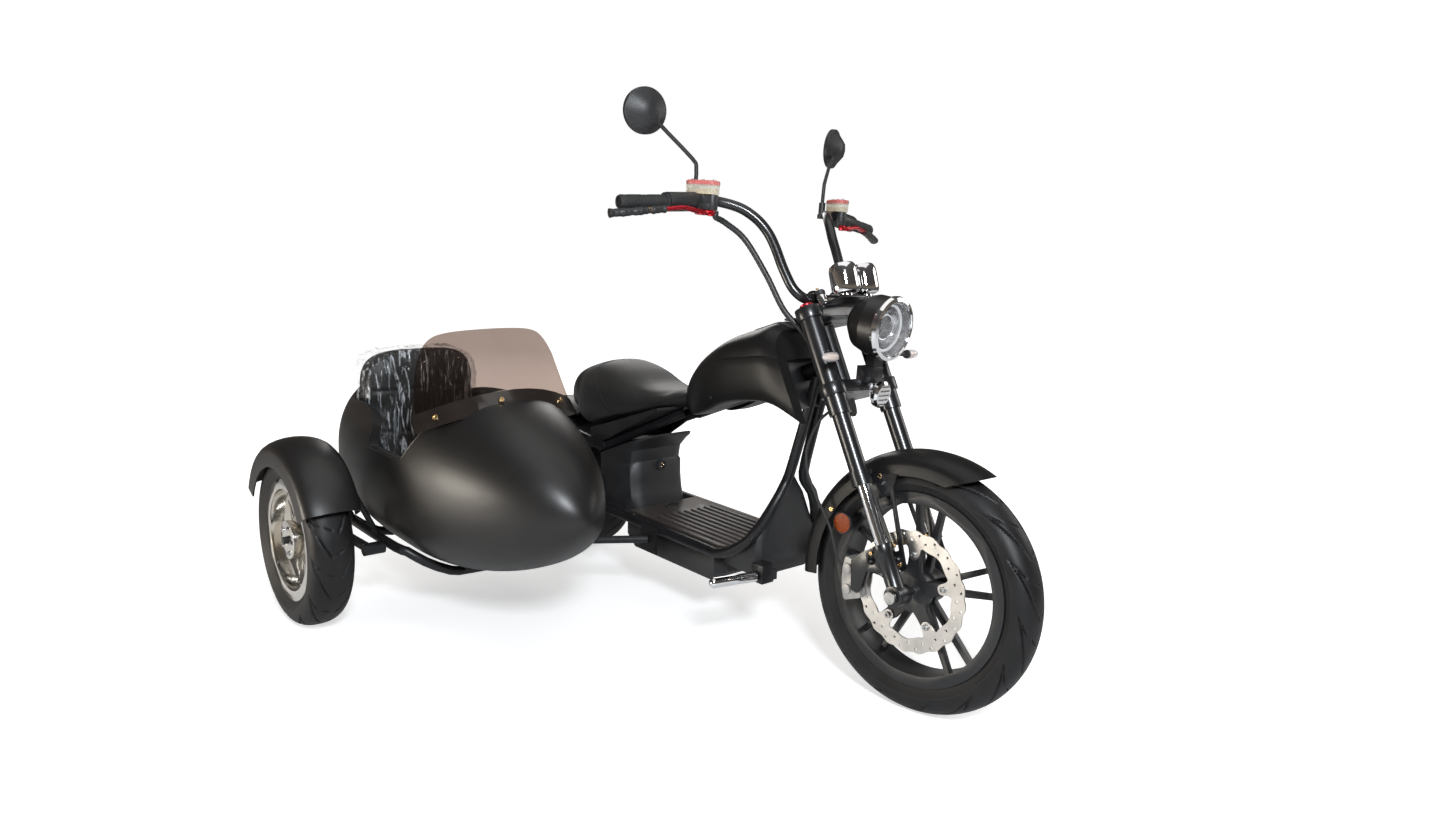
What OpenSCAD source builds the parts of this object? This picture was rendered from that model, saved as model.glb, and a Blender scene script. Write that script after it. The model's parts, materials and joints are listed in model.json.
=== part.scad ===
// Electric chopper scooter with a sidecar on the right-hand side.
// Millimetres. +X forward, +Y to the rider's left, +Z up, wheels on z = 0.
// Shapes are drawn from the front axle's ground point and moved to the middle of the outline.

/* [Chassis] */
// Distance between front and rear axles
wheelbase = 1500; // [1440:5:1560]
// Angle of the steering axis from the vertical
rake = 28; // [26:0.5:30]
// Steering angle at rest, positive to the left
rest_turn = 6.7; // [-10:0.1:10]
// Clearance between seated pieces
seat_gap = 0.3; // [0.2:0.05:0.4]
// Outside diameter of the main tubes
tube_d = 28; // [24:1:32]

/* [Front wheel] */
// Outside radius of the front tyre
front_r = 296; // [290:1:302]
// Width of the front tyre
front_w = 100; // [92:1:108]
// Radius of the front rim's flange
front_rim_r = 229; // [222:1:234]
// Radius of the front brake disc
disc_r = 145; // [135:1:150]
// Number of spoke pairs
spoke_pairs = 5; // [3:1:7]

/* [Fork] */
// Half the distance between the fork legs
fork_y = 105; // [102:1:112]
// Distance from the steering axis forward to the fork legs
fork_offset = 45; // [42:1:52]
// Height of the lower clamp's middle above the axle, along the leg
lower_clamp_t = 497; // [480:1:510]
// Distance between the clamps' middles, along the leg
clamp_rise = 193; // [183:1:213]
// Diameter of the black upper tube
fork_upper_d = 43; // [40:1:46]
// Diameter of the bright stanchion
stanchion_d = 30; // [26:1:34]

/* [Handlebar] */
// Diameter of the handlebar
bar_d = 25; // [22:1:28]
// Half width to the end of the grips
grip_end_y = 490; // [470:1:510]
// Length of a grip
grip_len = 128; // [110:1:135]
// Radius of a mirror
mirror_r = 55; // [45:1:62]

/* [Lamps] */
// Radius of the headlamp bucket
headlamp_r = 74; // [66:1:75]
// Radius of a gauge cup
gauge_r = 32; // [26:1:36]
// Height of a gauge cup
gauge_h = 74; // [60:1:84]

/* [Body] */
// Half width of the tank
tank_half_w = 132; // [118:1:145]
// Half width of the saddle
saddle_half_w = 148; // [135:1:160]
// Half width of the seat tower
tower_half_w = 114; // [100:1:116]
// Top of the floor
floor_z = 268; // [262:1:274]
// Half width of the floorboard
floor_half_w = 126; // [118:1:126]
// Number of ribs on the floor
floor_ribs = 9; // [5:1:11]

/* [Rear wheel] */
// Outside radius of the rear tyre
rear_r = 238; // [234:1:244]
// Width of the rear tyre
rear_w = 214; // [190:1:220]
// Radius of the rear rim's flange
rear_rim_r = 170; // [164:1:174]
// Outside radius of the rear fender
rear_fender_r = 280; // [270:1:288]

/* [Sidecar] */
// Sidecar centre plane, to the right of the scooter
side_y = 555; // [540:1:570]
// Sidecar wheel plane, to the right of the scooter
side_wheel_y = 957; // [950:1:975]
// Sidecar wheel axle, ahead of the rear axle
side_lead = 155; // [140:5:180]
// Outside radius of the sidecar tyre
side_r = 238; // [234:1:242]
// Width of the sidecar tyre
side_w = 118; // [105:1:122]
// Radius of the sidecar rim's flange
side_rim_r = 166; // [160:1:170]
// Outside radius of the sidecar fender
side_fender_r = 276; // [268:1:284]
// Half width of the sidecar fender
side_fender_half_w = 76; // [70:1:80]
// Half width of the sidecar tub
tub_half_w = 248; // [238:1:252]
// Length from the widest section to the nose
tub_nose_len = 562; // [540:2:580]
// Length from the widest section to the tail
tub_tail_len = 640; // [610:2:670]
// Wall of the tub
tub_wall = 9; // [6:0.5:12]

/* [Hidden] */
$fn = 48;

// Outline of the whole vehicle, used to put the origin under its middle
outline_front_x = front_r - 1.8;
outline_rear_x = -wheelbase - rear_fender_r - 7.8;
outline_left_y = grip_end_y + 14.4;
outline_right_y = -side_wheel_y - side_fender_half_w;
middle = [(outline_front_x + outline_rear_x) / 2, (outline_left_y + outline_right_y) / 2, 0];

// Point on the steering axis level with the axle, measured square to the axis
steer_pivot = [-fork_offset * cos(rake), 0, front_r - fork_offset * sin(rake)];
axle_r = 8.5;
bar_r = bar_d / 2;
tube_r = tube_d / 2;
fork_r = fork_upper_d / 2;
stanchion_r = stanchion_d / 2;
upper_clamp_t = lower_clamp_t + clamp_rise;
side_axle_x = wheelbase - side_lead;

// Point in the middle plane ahead of the fork legs and along them from the axle
function fork_point(ahead, t) =
    [ahead * cos(rake) - t * sin(rake), 0, front_r + ahead * sin(rake) + t * cos(rake)];

// The frame behind the steering head is drawn 1170 long and stretched to the wheelbase
stretch_from = 330;
stretch_share = (wheelbase - stretch_from) / 1170;
function stretched(x) = x > -stretch_from ? x : -stretch_from + (x + stretch_from) * stretch_share;
// The same for the first value of each row
function stretched_rows(rows) = [for (r = rows) [for (i = [0:len(r) - 1]) i == 0 ? stretched(r[0]) : r[i]]];

// Places

module placed() translate(-middle) children();

// The sidecar is drawn with its axle at one place and moves with the axle
side_drawn_x = 1345;
module side_placed() placed() translate([side_drawn_x - side_axle_x, 0, 0]) children();

// Turns the steered pieces by an angle about the steering axis
module steered() placed()
    translate(steer_pivot) rotate([0, -rake, 0]) rotate([0, 0, rest_turn]) rotate([0, rake, 0])
        translate(-steer_pivot) children();

// Front axle frame with z along the fork legs
module fork_frame() steered() translate([0, 0, front_r]) rotate([0, -rake, 0]) children();

// Turns a z axis to run along y, positive z to the right
module across() rotate([90, 0, 0]) children();

module front_wheel_frame() steered() translate([0, 0, front_r]) across() children();
module rear_wheel_frame() placed() translate([-wheelbase, 0, rear_r]) across() children();
module side_wheel_frame() placed() translate([-side_axle_x, -side_wheel_y, side_r]) across() children();

module both_sides() {
    children();
    mirror([0, 1, 0]) children();
}

// Puts a z axis from point a towards point b
module along(a, b) {
    d = b - a;
    translate(a) rotate([0, acos(d[2] / norm(d)), atan2(d[1], d[0])]) children();
}

// Curves and lofts

function unit(v) = v / norm(v);
function power(a, e) = sign(a) * pow(abs(a), e);

function spline_point(a, b, c, d, t) =
    0.5 * (2 * b + (c - a) * t + (2 * a - 5 * b + 4 * c - d) * t * t
        + (3 * b - a - 3 * c + d) * t * t * t);

// Smooth line through points, with a number of steps to each span
function curve(p, steps) = [
    for (i = [0:len(p) - 2], s = [0:steps - 1])
        spline_point(p[max(i - 1, 0)], p[i], p[i + 1], p[min(i + 2, len(p) - 1)], s / steps),
    p[len(p) - 1]];

function tangent(p, i) = unit(p[min(i + 1, len(p) - 1)] - p[max(i - 1, 0)]);
function square_to(n, t) = unit(n - (n * t) * t);
function first_normal(t) = square_to(abs(t[2]) < 0.8 ? [0, 0, 1] : [1, 0, 0], t);
function normals(p, i = 0, last = undef) =
    i == len(p) ? [] :
    let (n = i == 0 ? first_normal(tangent(p, 0)) : square_to(last, tangent(p, i)))
    concat([n], normals(p, i + 1, n));

// Closed skin over rings of points that run counter-clockwise seen from the last ring
module loft(rings) {
    n = len(rings[0]);
    m = len(rings);
    polyhedron(
        points = [for (ring = rings) each ring],
        faces = concat(
            [[for (j = [0:n - 1]) j]],
            [for (i = [0:m - 2], j = [0:n - 1], half = [0, 1])
                let (a = i * n + j, b = i * n + (j + 1) % n)
                half == 0 ? [a, a + n, b + n] : [a, b + n, b]],
            [[for (j = [n - 1:-1:0]) (m - 1) * n + j]]));
}

// Round tube along a line of points
module sweep(p, r, sides = 12) {
    n = normals(p);
    loft([for (i = [0:len(p) - 1])
        let (t = tangent(p, i), u = n[i], v = cross(t, u))
        [for (j = [0:sides - 1]) p[i] + r * (cos(360 * j / sides) * u + sin(360 * j / sides) * v)]]);
}

// Ring in a plane of constant x: half width, bottom, top, height of the widest place, exponent
function rounded_ring(x, y, w, low, high, wide, n, sides) =
    [for (j = [0:sides - 1]) let (c = cos(360 * j / sides), s = sin(360 * j / sides))
        [x, y + w * power(c, 2 / n), wide + (s > 0 ? high - wide : wide - low) * power(s, 2 / n)]];

// Wheels

// Tyre section: outer radius, width, bead radius, bead width, exponent of the crown
module tyre_ring(r, w, bead_r, bead_w, n) {
    mid_r = bead_r + 0.42 * (r - bead_r);
    crown = [for (a = [-90:15:90])
        [mid_r + (r - mid_r) * pow(cos(a), 2 / n), w / 2 * power(sin(a), 2 / n)]];
    rotate_extrude($fn = 96) polygon(concat(
        [[bead_r, bead_w / 2], [bead_r, -bead_w / 2], [bead_r + 16, -bead_w / 2]],
        crown,
        [[bead_r + 16, bead_w / 2]]));
}

flange_t = 5;
barrel_drop = 15;

// Rim barrel with two flanges that hold the bead
module rim_barrel(flange_r, bead_w) {
    seat_r = flange_r - barrel_drop - seat_gap;
    half = bead_w / 2 + seat_gap;
    rotate_extrude($fn = 96) polygon([
        [seat_r - 12, -half - flange_t], [flange_r, -half - flange_t], [flange_r, -half], [seat_r, -half],
        [seat_r, half], [flange_r, half], [flange_r, half + flange_t], [seat_r - 12, half + flange_t],
        [seat_r - 7, half - 6], [seat_r - 7, -half + 6]]);
}

front_bead_w = 70;
front_hub_r = 44;
front_hub_half = 42;
disc_bolt_r = 72;
disc_z = 54;
disc_t = 4;
bore_gap = 0.5;

module front_tyre() color("#1b1b1c") front_wheel_frame()
    tyre_ring(front_r, front_w, front_rim_r - barrel_drop, front_bead_w, 2.1);

// Outline of one spoke arm, from hub to barrel
module spoke(angle, lean, inner_r, outer_r, inner_w, outer_w) rotate(angle) polygon([
    [inner_r, lean * 0.25 - inner_w / 2], [outer_r, lean - outer_w / 2],
    [outer_r, lean + outer_w / 2], [inner_r, lean * 0.25 + inner_w / 2]]);

spoke_t = 17;
lug_t = 16;

// Cast wheel with five double spokes, a hub and lugs for the brake disc
module front_rim() color("#202021") front_wheel_frame() difference() {
    union() {
        rim_barrel(front_rim_r, front_bead_w);
        translate([0, 0, -spoke_t / 2]) linear_extrude(spoke_t) union() {
            circle(r = front_hub_r);
            for (i = [0:spoke_pairs - 1], side = [-1, 1])
                spoke(360 / spoke_pairs * i + 90, 34 * side, front_hub_r - 6,
                    front_rim_r - barrel_drop - 6, 17, 12);
        }
        cylinder(r = front_hub_r - 4, h = 2 * front_hub_half, center = true);
        translate([0, 0, disc_z - disc_t / 2 - seat_gap - lug_t]) linear_extrude(lug_t) union() {
            circle(r = front_hub_r + 6);
            for (i = [0:4]) rotate(72 * i + 18) {
                translate([front_hub_r - 10, -11]) square([disc_bolt_r - front_hub_r + 10, 22]);
                translate([disc_bolt_r, 0]) circle(r = 11);
            }
        }
    }
    cylinder(r = axle_r + bore_gap, h = 3 * front_hub_half, center = true);
}

disc_waves = 10;
disc_band = 36;
disc_holes = 20;

// Wavy outline of the brake disc
function wave_outline(r, depth) = [for (a = [0:3:357])
    (r - depth * (0.5 - 0.5 * cos(disc_waves * a))) * [cos(a), sin(a)]];

module front_disc() color("#b4b2ae") front_wheel_frame()
    translate([0, 0, disc_z - disc_t / 2]) linear_extrude(disc_t) difference() {
        union() {
            difference() {
                polygon(wave_outline(disc_r, 7));
                polygon(wave_outline(disc_r - disc_band, -5));
            }
            for (i = [0:4]) rotate(72 * i + 18) {
                translate([disc_bolt_r, -9]) square([disc_r - disc_band - disc_bolt_r + 8, 18]);
                translate([disc_bolt_r, 0]) circle(r = 12);
            }
        }
        for (i = [0:disc_holes - 1]) rotate(360 / disc_holes * i)
            translate([disc_r - disc_band / 2 + (i % 2 == 0 ? 7 : -7), 0]) circle(r = 4);
        for (i = [0:4]) rotate(72 * i + 18) translate([disc_bolt_r, 0]) circle(r = 4.2);
    }

rear_bead_w = 170;
rear_hub_r = 92;
rear_hub_half = 70;
rear_axle_r = 9;

module rear_tyre() color("#1b1b1c") rear_wheel_frame()
    tyre_ring(rear_r, rear_w, rear_rim_r - barrel_drop, rear_bead_w, 3.4);

module rear_rim() color("#202021") rear_wheel_frame() difference() {
    union() {
        rim_barrel(rear_rim_r, rear_bead_w);
        cylinder(r = rear_hub_r, h = 2 * rear_hub_half, center = true);
        translate([0, 0, -45]) linear_extrude(90) union() {
            circle(r = rear_hub_r + 4);
            for (i = [0:9]) spoke(36 * i, 0, rear_hub_r - 6, rear_rim_r - barrel_drop - 4, 22, 26);
        }
    }
    cylinder(r = rear_axle_r + bore_gap, h = 3 * rear_hub_half, center = true);
}

side_bead_w = 84;
side_hub_r = 52;
side_hub_half = 46;
side_axle_r = 10;
side_slots = 10;

module sidecar_tyre() color("#1b1b1c") side_wheel_frame()
    tyre_ring(side_r, side_w, side_rim_r - barrel_drop, side_bead_w, 2.5);

// Dished rim with long curved slots round a bolted hub
module sidecar_rim() color("#c9c9cb") side_wheel_frame() difference() {
    union() {
        rim_barrel(side_rim_r, side_bead_w);
        translate([0, 0, -6]) difference() {
            cylinder(r = side_rim_r - barrel_drop - 6, h = 12);
            for (i = [0:side_slots - 1]) rotate([0, 0, 360 / side_slots * i]) translate([0, 0, -1])
                linear_extrude(14) union() {
                    translate([84, 0]) circle(r = 11);
                    polygon([[84, -11], [128, -5], [128, 5], [84, 11]]);
                    translate([128, 0]) circle(r = 5);
                }
        }
        translate([0, 0, -side_hub_half]) cylinder(r = side_hub_r, h = 2 * side_hub_half);
    }
    cylinder(r = side_axle_r + bore_gap, h = 3 * side_hub_half, center = true);
}

// Fork

lower_r = 20;
caliper_out = disc_z + 26;
// Brake bracket behind the right leg: square to the leg, along the leg
bracket_outline = [[-4, 118], [-60, 118], [-104, 106], [-112, 84], [-130, 42], [-116, 28], [-98, 40],
    [-70, 72], [-4, 48]];
bracket_hole = [-46, 92];
stanchion_low_t = 120;
upper_low_t = 268;
stanchion_top_t = 300;
upper_top_t = upper_clamp_t + 18;
clamp_half = 15;
cover_r = fork_r + 5.5;
axle_half = fork_y + 26;
stem_r = 12;

module front_axle() color("#8b8a88") steered() translate([0, 0, front_r]) across() {
    cylinder(r = axle_r, h = 2 * axle_half, center = true);
    for (side = [-1, 1]) translate([0, 0, side * (axle_half + 5)]) cylinder(r = 14, h = 10, center = true);
}

module fork_lowers() color("#1d1d1f") fork_frame() {
    both_sides() difference() {
        union() {
            translate([0, fork_y, 0]) cylinder(r = lower_r, h = stanchion_low_t);
            translate([0, fork_y, stanchion_low_t - 22]) cylinder(r = lower_r + 3, h = 22);
            translate([0, fork_y, 0]) across()
                cylinder(r = lower_r + 4, h = 2 * (lower_r + 2), center = true);
        }
        translate([0, fork_y, 0]) across() cylinder(r = axle_r + seat_gap, h = 60, center = true);
    }
    // Bracket that carries the brake caliper, in the plane of the leg
    translate([0, -caliper_out - seat_gap, 0]) rotate([90, 0, 0])
        linear_extrude(fork_y - 6 - caliper_out - seat_gap) difference() {
            offset(r = 6) offset(delta = -6) polygon(bracket_outline);
            translate(bracket_hole) circle(r = 11);
        }
}

module fork_stanchions() color("#d8d8da") fork_frame() both_sides()
    translate([0, fork_y, stanchion_low_t + seat_gap])
        cylinder(r = stanchion_r, h = stanchion_top_t - stanchion_low_t - seat_gap);

module fork_uppers() color("#161618") fork_frame() both_sides() translate([0, fork_y, 0]) difference() {
    union() {
        translate([0, 0, upper_low_t]) cylinder(r = fork_r, h = upper_top_t - upper_low_t);
        translate([0, 0, upper_low_t - 6]) cylinder(r = fork_r + 3, h = 34);
        translate([0, 0, lower_clamp_t + clamp_half + seat_gap])
            cylinder(r = cover_r, h = upper_clamp_t - lower_clamp_t - 2 * clamp_half - 2 * seat_gap);
        translate([0, 0, lower_clamp_t - clamp_half - seat_gap - 46]) cylinder(r = cover_r, h = 46);
    }
    translate([0, 0, upper_low_t - 10])
        cylinder(r = stanchion_r + seat_gap, h = stanchion_top_t - upper_low_t + 10 + seat_gap);
}

// Clamp plate in the fork frame round both legs and the stem
module clamp_plate(t, half) translate([0, 0, t - half]) linear_extrude(2 * half) difference() {
    union() {
        for (side = [-1, 1]) translate([0, side * fork_y]) circle(r = fork_r + 11);
        polygon([[26, -fork_y], [30, 0], [26, fork_y], [-26, fork_y], [-fork_offset - 22, 30],
            [-fork_offset - 22, -30], [-26, -fork_y]]);
        translate([-fork_offset, 0]) circle(r = 34);
    }
    for (side = [-1, 1]) translate([0, side * fork_y]) circle(r = fork_r + seat_gap);
}

// Headlamp: front of the glass, foot of its post and the bracket under it
lamp_front = fork_point(144.55, upper_clamp_t - 98.64);
lamp_foot_x = lamp_front[0] - 46;
lamp_foot_z = lamp_front[2] - 94;
clamp_nose = fork_point(30, lower_clamp_t + clamp_half);
lamp_bracket = [clamp_nose[0] - 16.1, clamp_nose[2] - 8.2];

module lower_clamp() color("#18181a") {
    fork_frame() {
        clamp_plate(lower_clamp_t, clamp_half);
        translate([-fork_offset, 0, lower_clamp_t])
            cylinder(r = stem_r, h = upper_clamp_t - clamp_half - seat_gap - lower_clamp_t);
    }
    // Headlamp bracket that stands on the clamp's front edge
    steered() translate([lamp_bracket[0], -22, lamp_bracket[1]])
        cube([46, 44, lamp_foot_z - seat_gap - lamp_bracket[1]]);
}

riser_y = 45;
riser_half = 16;
bar_x = -10;
bar_t = upper_clamp_t + 43;

module upper_clamp() color("#18181a") fork_frame() {
    clamp_plate(upper_clamp_t, clamp_half);
    // Risers that hold the handlebar
    for (side = [-1, 1]) difference() {
        translate([bar_x, side * riser_y, 0]) union() {
            translate([-20, -riser_half, upper_clamp_t + clamp_half - 1])
                cube([40, 2 * riser_half, bar_t - upper_clamp_t - clamp_half + 1]);
            translate([0, 0, bar_t]) across() cylinder(r = 22, h = 2 * riser_half, center = true);
        }
        translate([bar_x, 0, bar_t]) across() cylinder(r = bar_r + seat_gap, h = 300, center = true);
    }
    // Plate under the gauges
    translate([24, -76, upper_clamp_t + clamp_half - 7]) cube([64, 152, 7]);
}

// Front fender and brake

fender_r = 326;
fender_half_w = 64;
fender_t = 4;
fender_skirt = 58;
fender_front_a = 60;
fender_rear_a = 186;
// Tip on the crown and slope of the edge from the tip back to the skirts
fender_tip_a = 63.4;
fender_end_slope = 21.2;

// Fender section: rounded crown with straight skirts
module fender_section(r, half_w, skirt, t, crown) {
    function edge(in) = concat(
        [[r - skirt, -half_w + in]],
        [for (a = [-90:15:90]) [r - crown - in + crown * cos(a), (half_w - in) * sin(a)]],
        [[r - skirt, half_w - in]]);
    outer = edge(0);
    inner = edge(t);
    polygon(concat(outer, [for (i = [len(inner) - 1:-1:0]) inner[i]]));
}

module front_fender() color("#222223") front_wheel_frame() difference() {
    rotate([0, 0, fender_front_a])
        rotate_extrude(angle = fender_rear_a - fender_front_a, $fn = 96)
            fender_section(fender_r, fender_half_w, fender_skirt, fender_t, 34);
    // The front end runs out to a point on the crown
    rotate([0, 0, fender_tip_a]) translate([fender_r, 0, 0])
        rotate([0, 0, 180 + fender_end_slope - fender_tip_a]) translate([-40, 0, -100]) cube([200, 150, 200]);
}

stay_t = 4;
stay_y = fender_half_w + seat_gap;

// Stay plates between the fork legs and the fender's sides
module fender_stays() color("#1a1a1c") fork_frame() both_sides() translate([0, stay_y, 0]) {
    rotate([90, 0, 0]) translate([0, 0, -stay_t]) linear_extrude(stay_t) difference() {
        polygon([[-6, 60], [20, 60], [52, 236], [74, 262], [-30, 296], [-34, 262], [-14, 236]]);
        polygon([[2, 96], [14, 96], [38, 222], [-2, 222]]);
    }
    translate([6, 0, 76]) rotate([-90, 0, 0]) cylinder(r = 9, h = fork_y - lower_r - stay_y - seat_gap);
}

caliper_a = 183;
caliper_half_a = 18;
caliper_in_r = disc_r - 20;
caliper_out_r = disc_r + 32;
caliper_w = 44;
caliper_gap = 1.5;
piston_r = 12;

// Curved caliper body that straddles the disc, with two piston bosses on its outer face
module brake_caliper() color("#8e8f90") front_wheel_frame() rotate([0, 0, caliper_a]) difference() {
    union() {
        translate([0, 0, caliper_out - caliper_w]) linear_extrude(caliper_w)
            offset(r = 7) offset(delta = -7) polygon(concat(
                [for (a = [-caliper_half_a:6:caliper_half_a]) caliper_out_r * [cos(a), sin(a)]],
                [for (a = [caliper_half_a:-6:-caliper_half_a]) caliper_in_r * [cos(a), sin(a)]]));
        for (a = [-9, 9]) rotate([0, 0, a]) translate([disc_r + 17, 0, caliper_out - 2])
            cylinder(r = piston_r, h = 7);
    }
    translate([0, 0, disc_z])
        cylinder(r = disc_r + 3, h = disc_t + 2 * caliper_gap, center = true, $fn = 96);
}

// Handlebar and controls

// Handlebar route on the left, measured from the bar's middle
bar_mid = fork_point(bar_x, bar_t);
bar_bends = [[0, 66, 0], [0, 80, 0], [-9, 97, 7.5], [-27, 110, 27.5], [-53, 118, 70.5], [-79, 123, 119.5],
    [-101, 130, 154.5], [-126, 147, 184.5], [-157, 175, 207.5], [-192, 215, 218.5]];
bar_route = [for (b = bar_bends) bar_mid + b];
bar_bend_end = bar_route[len(bar_route) - 1];
bar_end = bar_mid + [-244, grip_end_y, 193.5];
bar_dir = unit(bar_end - bar_bend_end);
// Point on the straight end of the bar at a distance y from the middle
function on_bar(y) = bar_bend_end + bar_dir * (y - bar_bend_end[1]) / bar_dir[1];
function flip_y(p) = [p[0], -p[1], p[2]];
bar_left = curve(concat(bar_route, [on_bar(240), on_bar(grip_end_y - 4)]), 2);
bar_whole = concat([for (i = [len(bar_left) - 1:-1:0]) flip_y(bar_left[i])], bar_left);

module handlebar() color("#161618") steered() sweep(bar_whole, bar_r, 16);

// Round boss on the straight end of the bar between two distances from the middle
module bar_boss(y0, y1, r) along(on_bar(y0), on_bar(y1)) cylinder(r = r, h = norm(on_bar(y1) - on_bar(y0)));

module bar_sleeve(y0, y1, r) difference() {
    bar_boss(y0, y1, r);
    bar_boss(y0 - 5, y1 + 5, bar_r + seat_gap);
}

grip_r = 17;

module grips() color("#1c1c1d") steered() both_sides() {
    bar_sleeve(grip_end_y - grip_len, grip_end_y, grip_r);
    bar_sleeve(grip_end_y - grip_len, grip_end_y - grip_len + 8, grip_r + 5);
}

switch_y = 322;
switch_r = 23;
master_y = 262;
lever_pivot = on_bar(master_y) + [25.9, 20, -14.7];
lever_tip = on_bar(grip_end_y) + [1, 30, -33];

// Brake body and its reservoir lie across the bar, turned outwards at the rear
master_turn = -23;
master_len = 84;
master_w = 40;
master_low = 19.4;
mirror_boss = [-38, -11, 0];
reservoir_lift = 17;
reservoir_h = 32;
clamp_r = reservoir_lift - 2.5 * seat_gap;

module master_frame() translate(on_bar(master_y) + [3, 4, 0]) rotate([0, 0, master_turn]) children();

module rounded_bar(length, width) union() {
    square([length - width, width], center = true);
    for (side = [-1, 1]) translate([side * (length - width) / 2, 0]) circle(r = width / 2);
}

// Switch housing, brake clamp, brake body and mirror boss on each side
module bar_controls() color("#1a1a1b") steered() both_sides() difference() {
    union() {
        bar_boss(master_y + 14, grip_end_y - grip_len - seat_gap, switch_r);
        bar_boss(master_y - 17, master_y + 17, clamp_r);
        master_frame() {
            translate([2, 0, -master_low]) linear_extrude(master_low + clamp_r)
                rounded_bar(master_len - 8, 28);
            // Lug for the lever's pivot
            translate([4, 0, -master_low]) cube([24, 34, 14]);
        }
        translate(on_bar(master_y) + mirror_boss) {
            cylinder(r = 9, h = 40);
            translate([-8, -8, -4]) cube([36, 16, 12]);
        }
    }
    bar_boss(master_y - 60, grip_end_y, bar_r + seat_gap);
    // Room for the reservoir beside the mirror boss
    master_frame() translate([0, 0, reservoir_lift - seat_gap]) linear_extrude(reservoir_h)
        rounded_bar(master_len + 2 * seat_gap, master_w + 2 * seat_gap);
}

module reservoirs() color("#c98a3c") steered() both_sides() master_frame()
    translate([0, 0, reservoir_lift]) linear_extrude(reservoir_h) rounded_bar(master_len, master_w);

module brake_levers() color("#b3202c") steered() both_sides()
    loft([for (s = [0:0.2:1])
        let (p = lever_pivot + s * (lever_tip - lever_pivot) + [14 * sin(180 * s), 0, -12])
        [for (a = [315:-45:0]) p + [(10 - 3 * s) * cos(a), 0, (7 - 2 * s) * sin(a)]]]);

stem_foot = on_bar(master_y) + mirror_boss + [0, 0, 40 + seat_gap];
mirror_middle = on_bar(master_y) + [-108.1, 104, 201.3];
mirror_face = unit([-0.95, -0.28, 0.06]);
mirror_depth = 30;
stem_points = [stem_foot, stem_foot + [0, 1, 40], stem_foot + [-6, 12, 62],
    mirror_middle + [22, -26, -26], mirror_middle + [27, -12, -12]];

module mirror_place() along(mirror_middle, mirror_middle + mirror_face) children();

// Round head with an eight-sided back on a bent stem
module mirrors() color("#1a1b1d") steered() both_sides() {
    difference() {
        union() {
            sweep(curve(stem_points, 3), 5, 8);
            mirror_place() {
                translate([0, 0, -4]) cylinder(r = mirror_r, h = 10);
                translate([0, 0, -mirror_depth])
                    cylinder(r1 = mirror_r * 0.45, r2 = mirror_r, h = mirror_depth - 4, $fn = 8);
            }
        }
        mirror_place() translate([0, 0, 2]) cylinder(r = mirror_r - 3, h = 10);
    }
}

module mirror_glass() color("#9aa4ab") steered() both_sides() mirror_place()
    translate([0, 0, 2 + seat_gap]) cylinder(r = mirror_r - 3.5, h = 3);

// Lamps, gauges and horn

lamp_tilt = 6;
bucket_depth = 118;

// Headlamp frame with z along the beam
module lamp_frame() steered() translate(lamp_front) rotate([0, 90 + lamp_tilt, 0]) children();

module headlamp_bucket() color("#1b1b1d") {
    lamp_frame() rotate_extrude($fn = 72) polygon([
        [headlamp_r, -12], [headlamp_r, -52], [headlamp_r * 0.86, -86], [headlamp_r * 0.55, -108],
        [0, -bucket_depth], [0, -bucket_depth + 6], [headlamp_r * 0.5, -102], [headlamp_r * 0.8, -82],
        [headlamp_r - 5, -50], [headlamp_r - 5, -12]]);
    steered() translate([lamp_foot_x - 12, -18, lamp_foot_z])
        cube([24, 36, lamp_front[2] - headlamp_r - lamp_foot_z + 10]);
}

module headlamp_ring() color("#dcdcde") lamp_frame() rotate_extrude($fn = 72) polygon([
    [headlamp_r - 8, -12 + seat_gap], [headlamp_r + 4, -12 + seat_gap], [headlamp_r + 5, -6],
    [headlamp_r + 2, 2], [headlamp_r - 6, 5], [headlamp_r - 8, 2]]);

module headlamp_lens() color("#9fb0b8") lamp_frame() {
    rotate_extrude($fn = 72) polygon([
        [0, 8], [0, 11], [headlamp_r * 0.5, 9], [headlamp_r - 8 - seat_gap, 3],
        [headlamp_r - 8 - seat_gap, -2], [headlamp_r - 12, -2], [headlamp_r * 0.5, 6]]);
    // Projector behind the glass
    translate([0, 0, -104]) cylinder(r = 30, h = 80);
    translate([0, 0, -30]) sphere(r = 27);
}

gauge_y = 40;
gauge_x = 74;
gauge_tilt = 10;

module gauges() color("#d4d5d7") fork_frame()
    for (side = [-1, 1]) translate([gauge_x, side * gauge_y, upper_clamp_t + clamp_half + seat_gap]) {
        cylinder(r = 8, h = 10);
        translate([2, 0, 6]) rotate([0, gauge_tilt, 0]) rotate_extrude() polygon([
            [0, 0], [gauge_r - 9, 0], [gauge_r - 3, 3], [gauge_r, 10], [gauge_r, gauge_h - 6],
            [gauge_r - 2, gauge_h], [gauge_r - 5, gauge_h], [gauge_r - 5, gauge_h - 5], [0, gauge_h - 5]]);
    }

horn_r = 33;
horn_middle = [lamp_bracket[0] + 62, 0, lamp_bracket[1] - 26];

module horn() color("#d4d5d7") steered() {
    translate(horn_middle) rotate([0, 100, 0]) {
        difference() {
            rotate_extrude() polygon([[0, -14], [horn_r - 8, -14], [horn_r, -6], [horn_r, 3],
                [horn_r - 6, 8], [0, 11]]);
            for (i = [-2:2]) translate([i * 11, 0, 9]) cube([4, 44 - 6 * abs(i), 10], center = true);
        }
        translate([0, 0, -27]) cylinder(r = 9, h = 14);
    }
    // Strap up to the headlamp bracket
    translate(horn_middle + [-29, -8, -8]) cube([7, 16, lamp_bracket[1] - seat_gap - horn_middle[2] + 8]);
}

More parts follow.
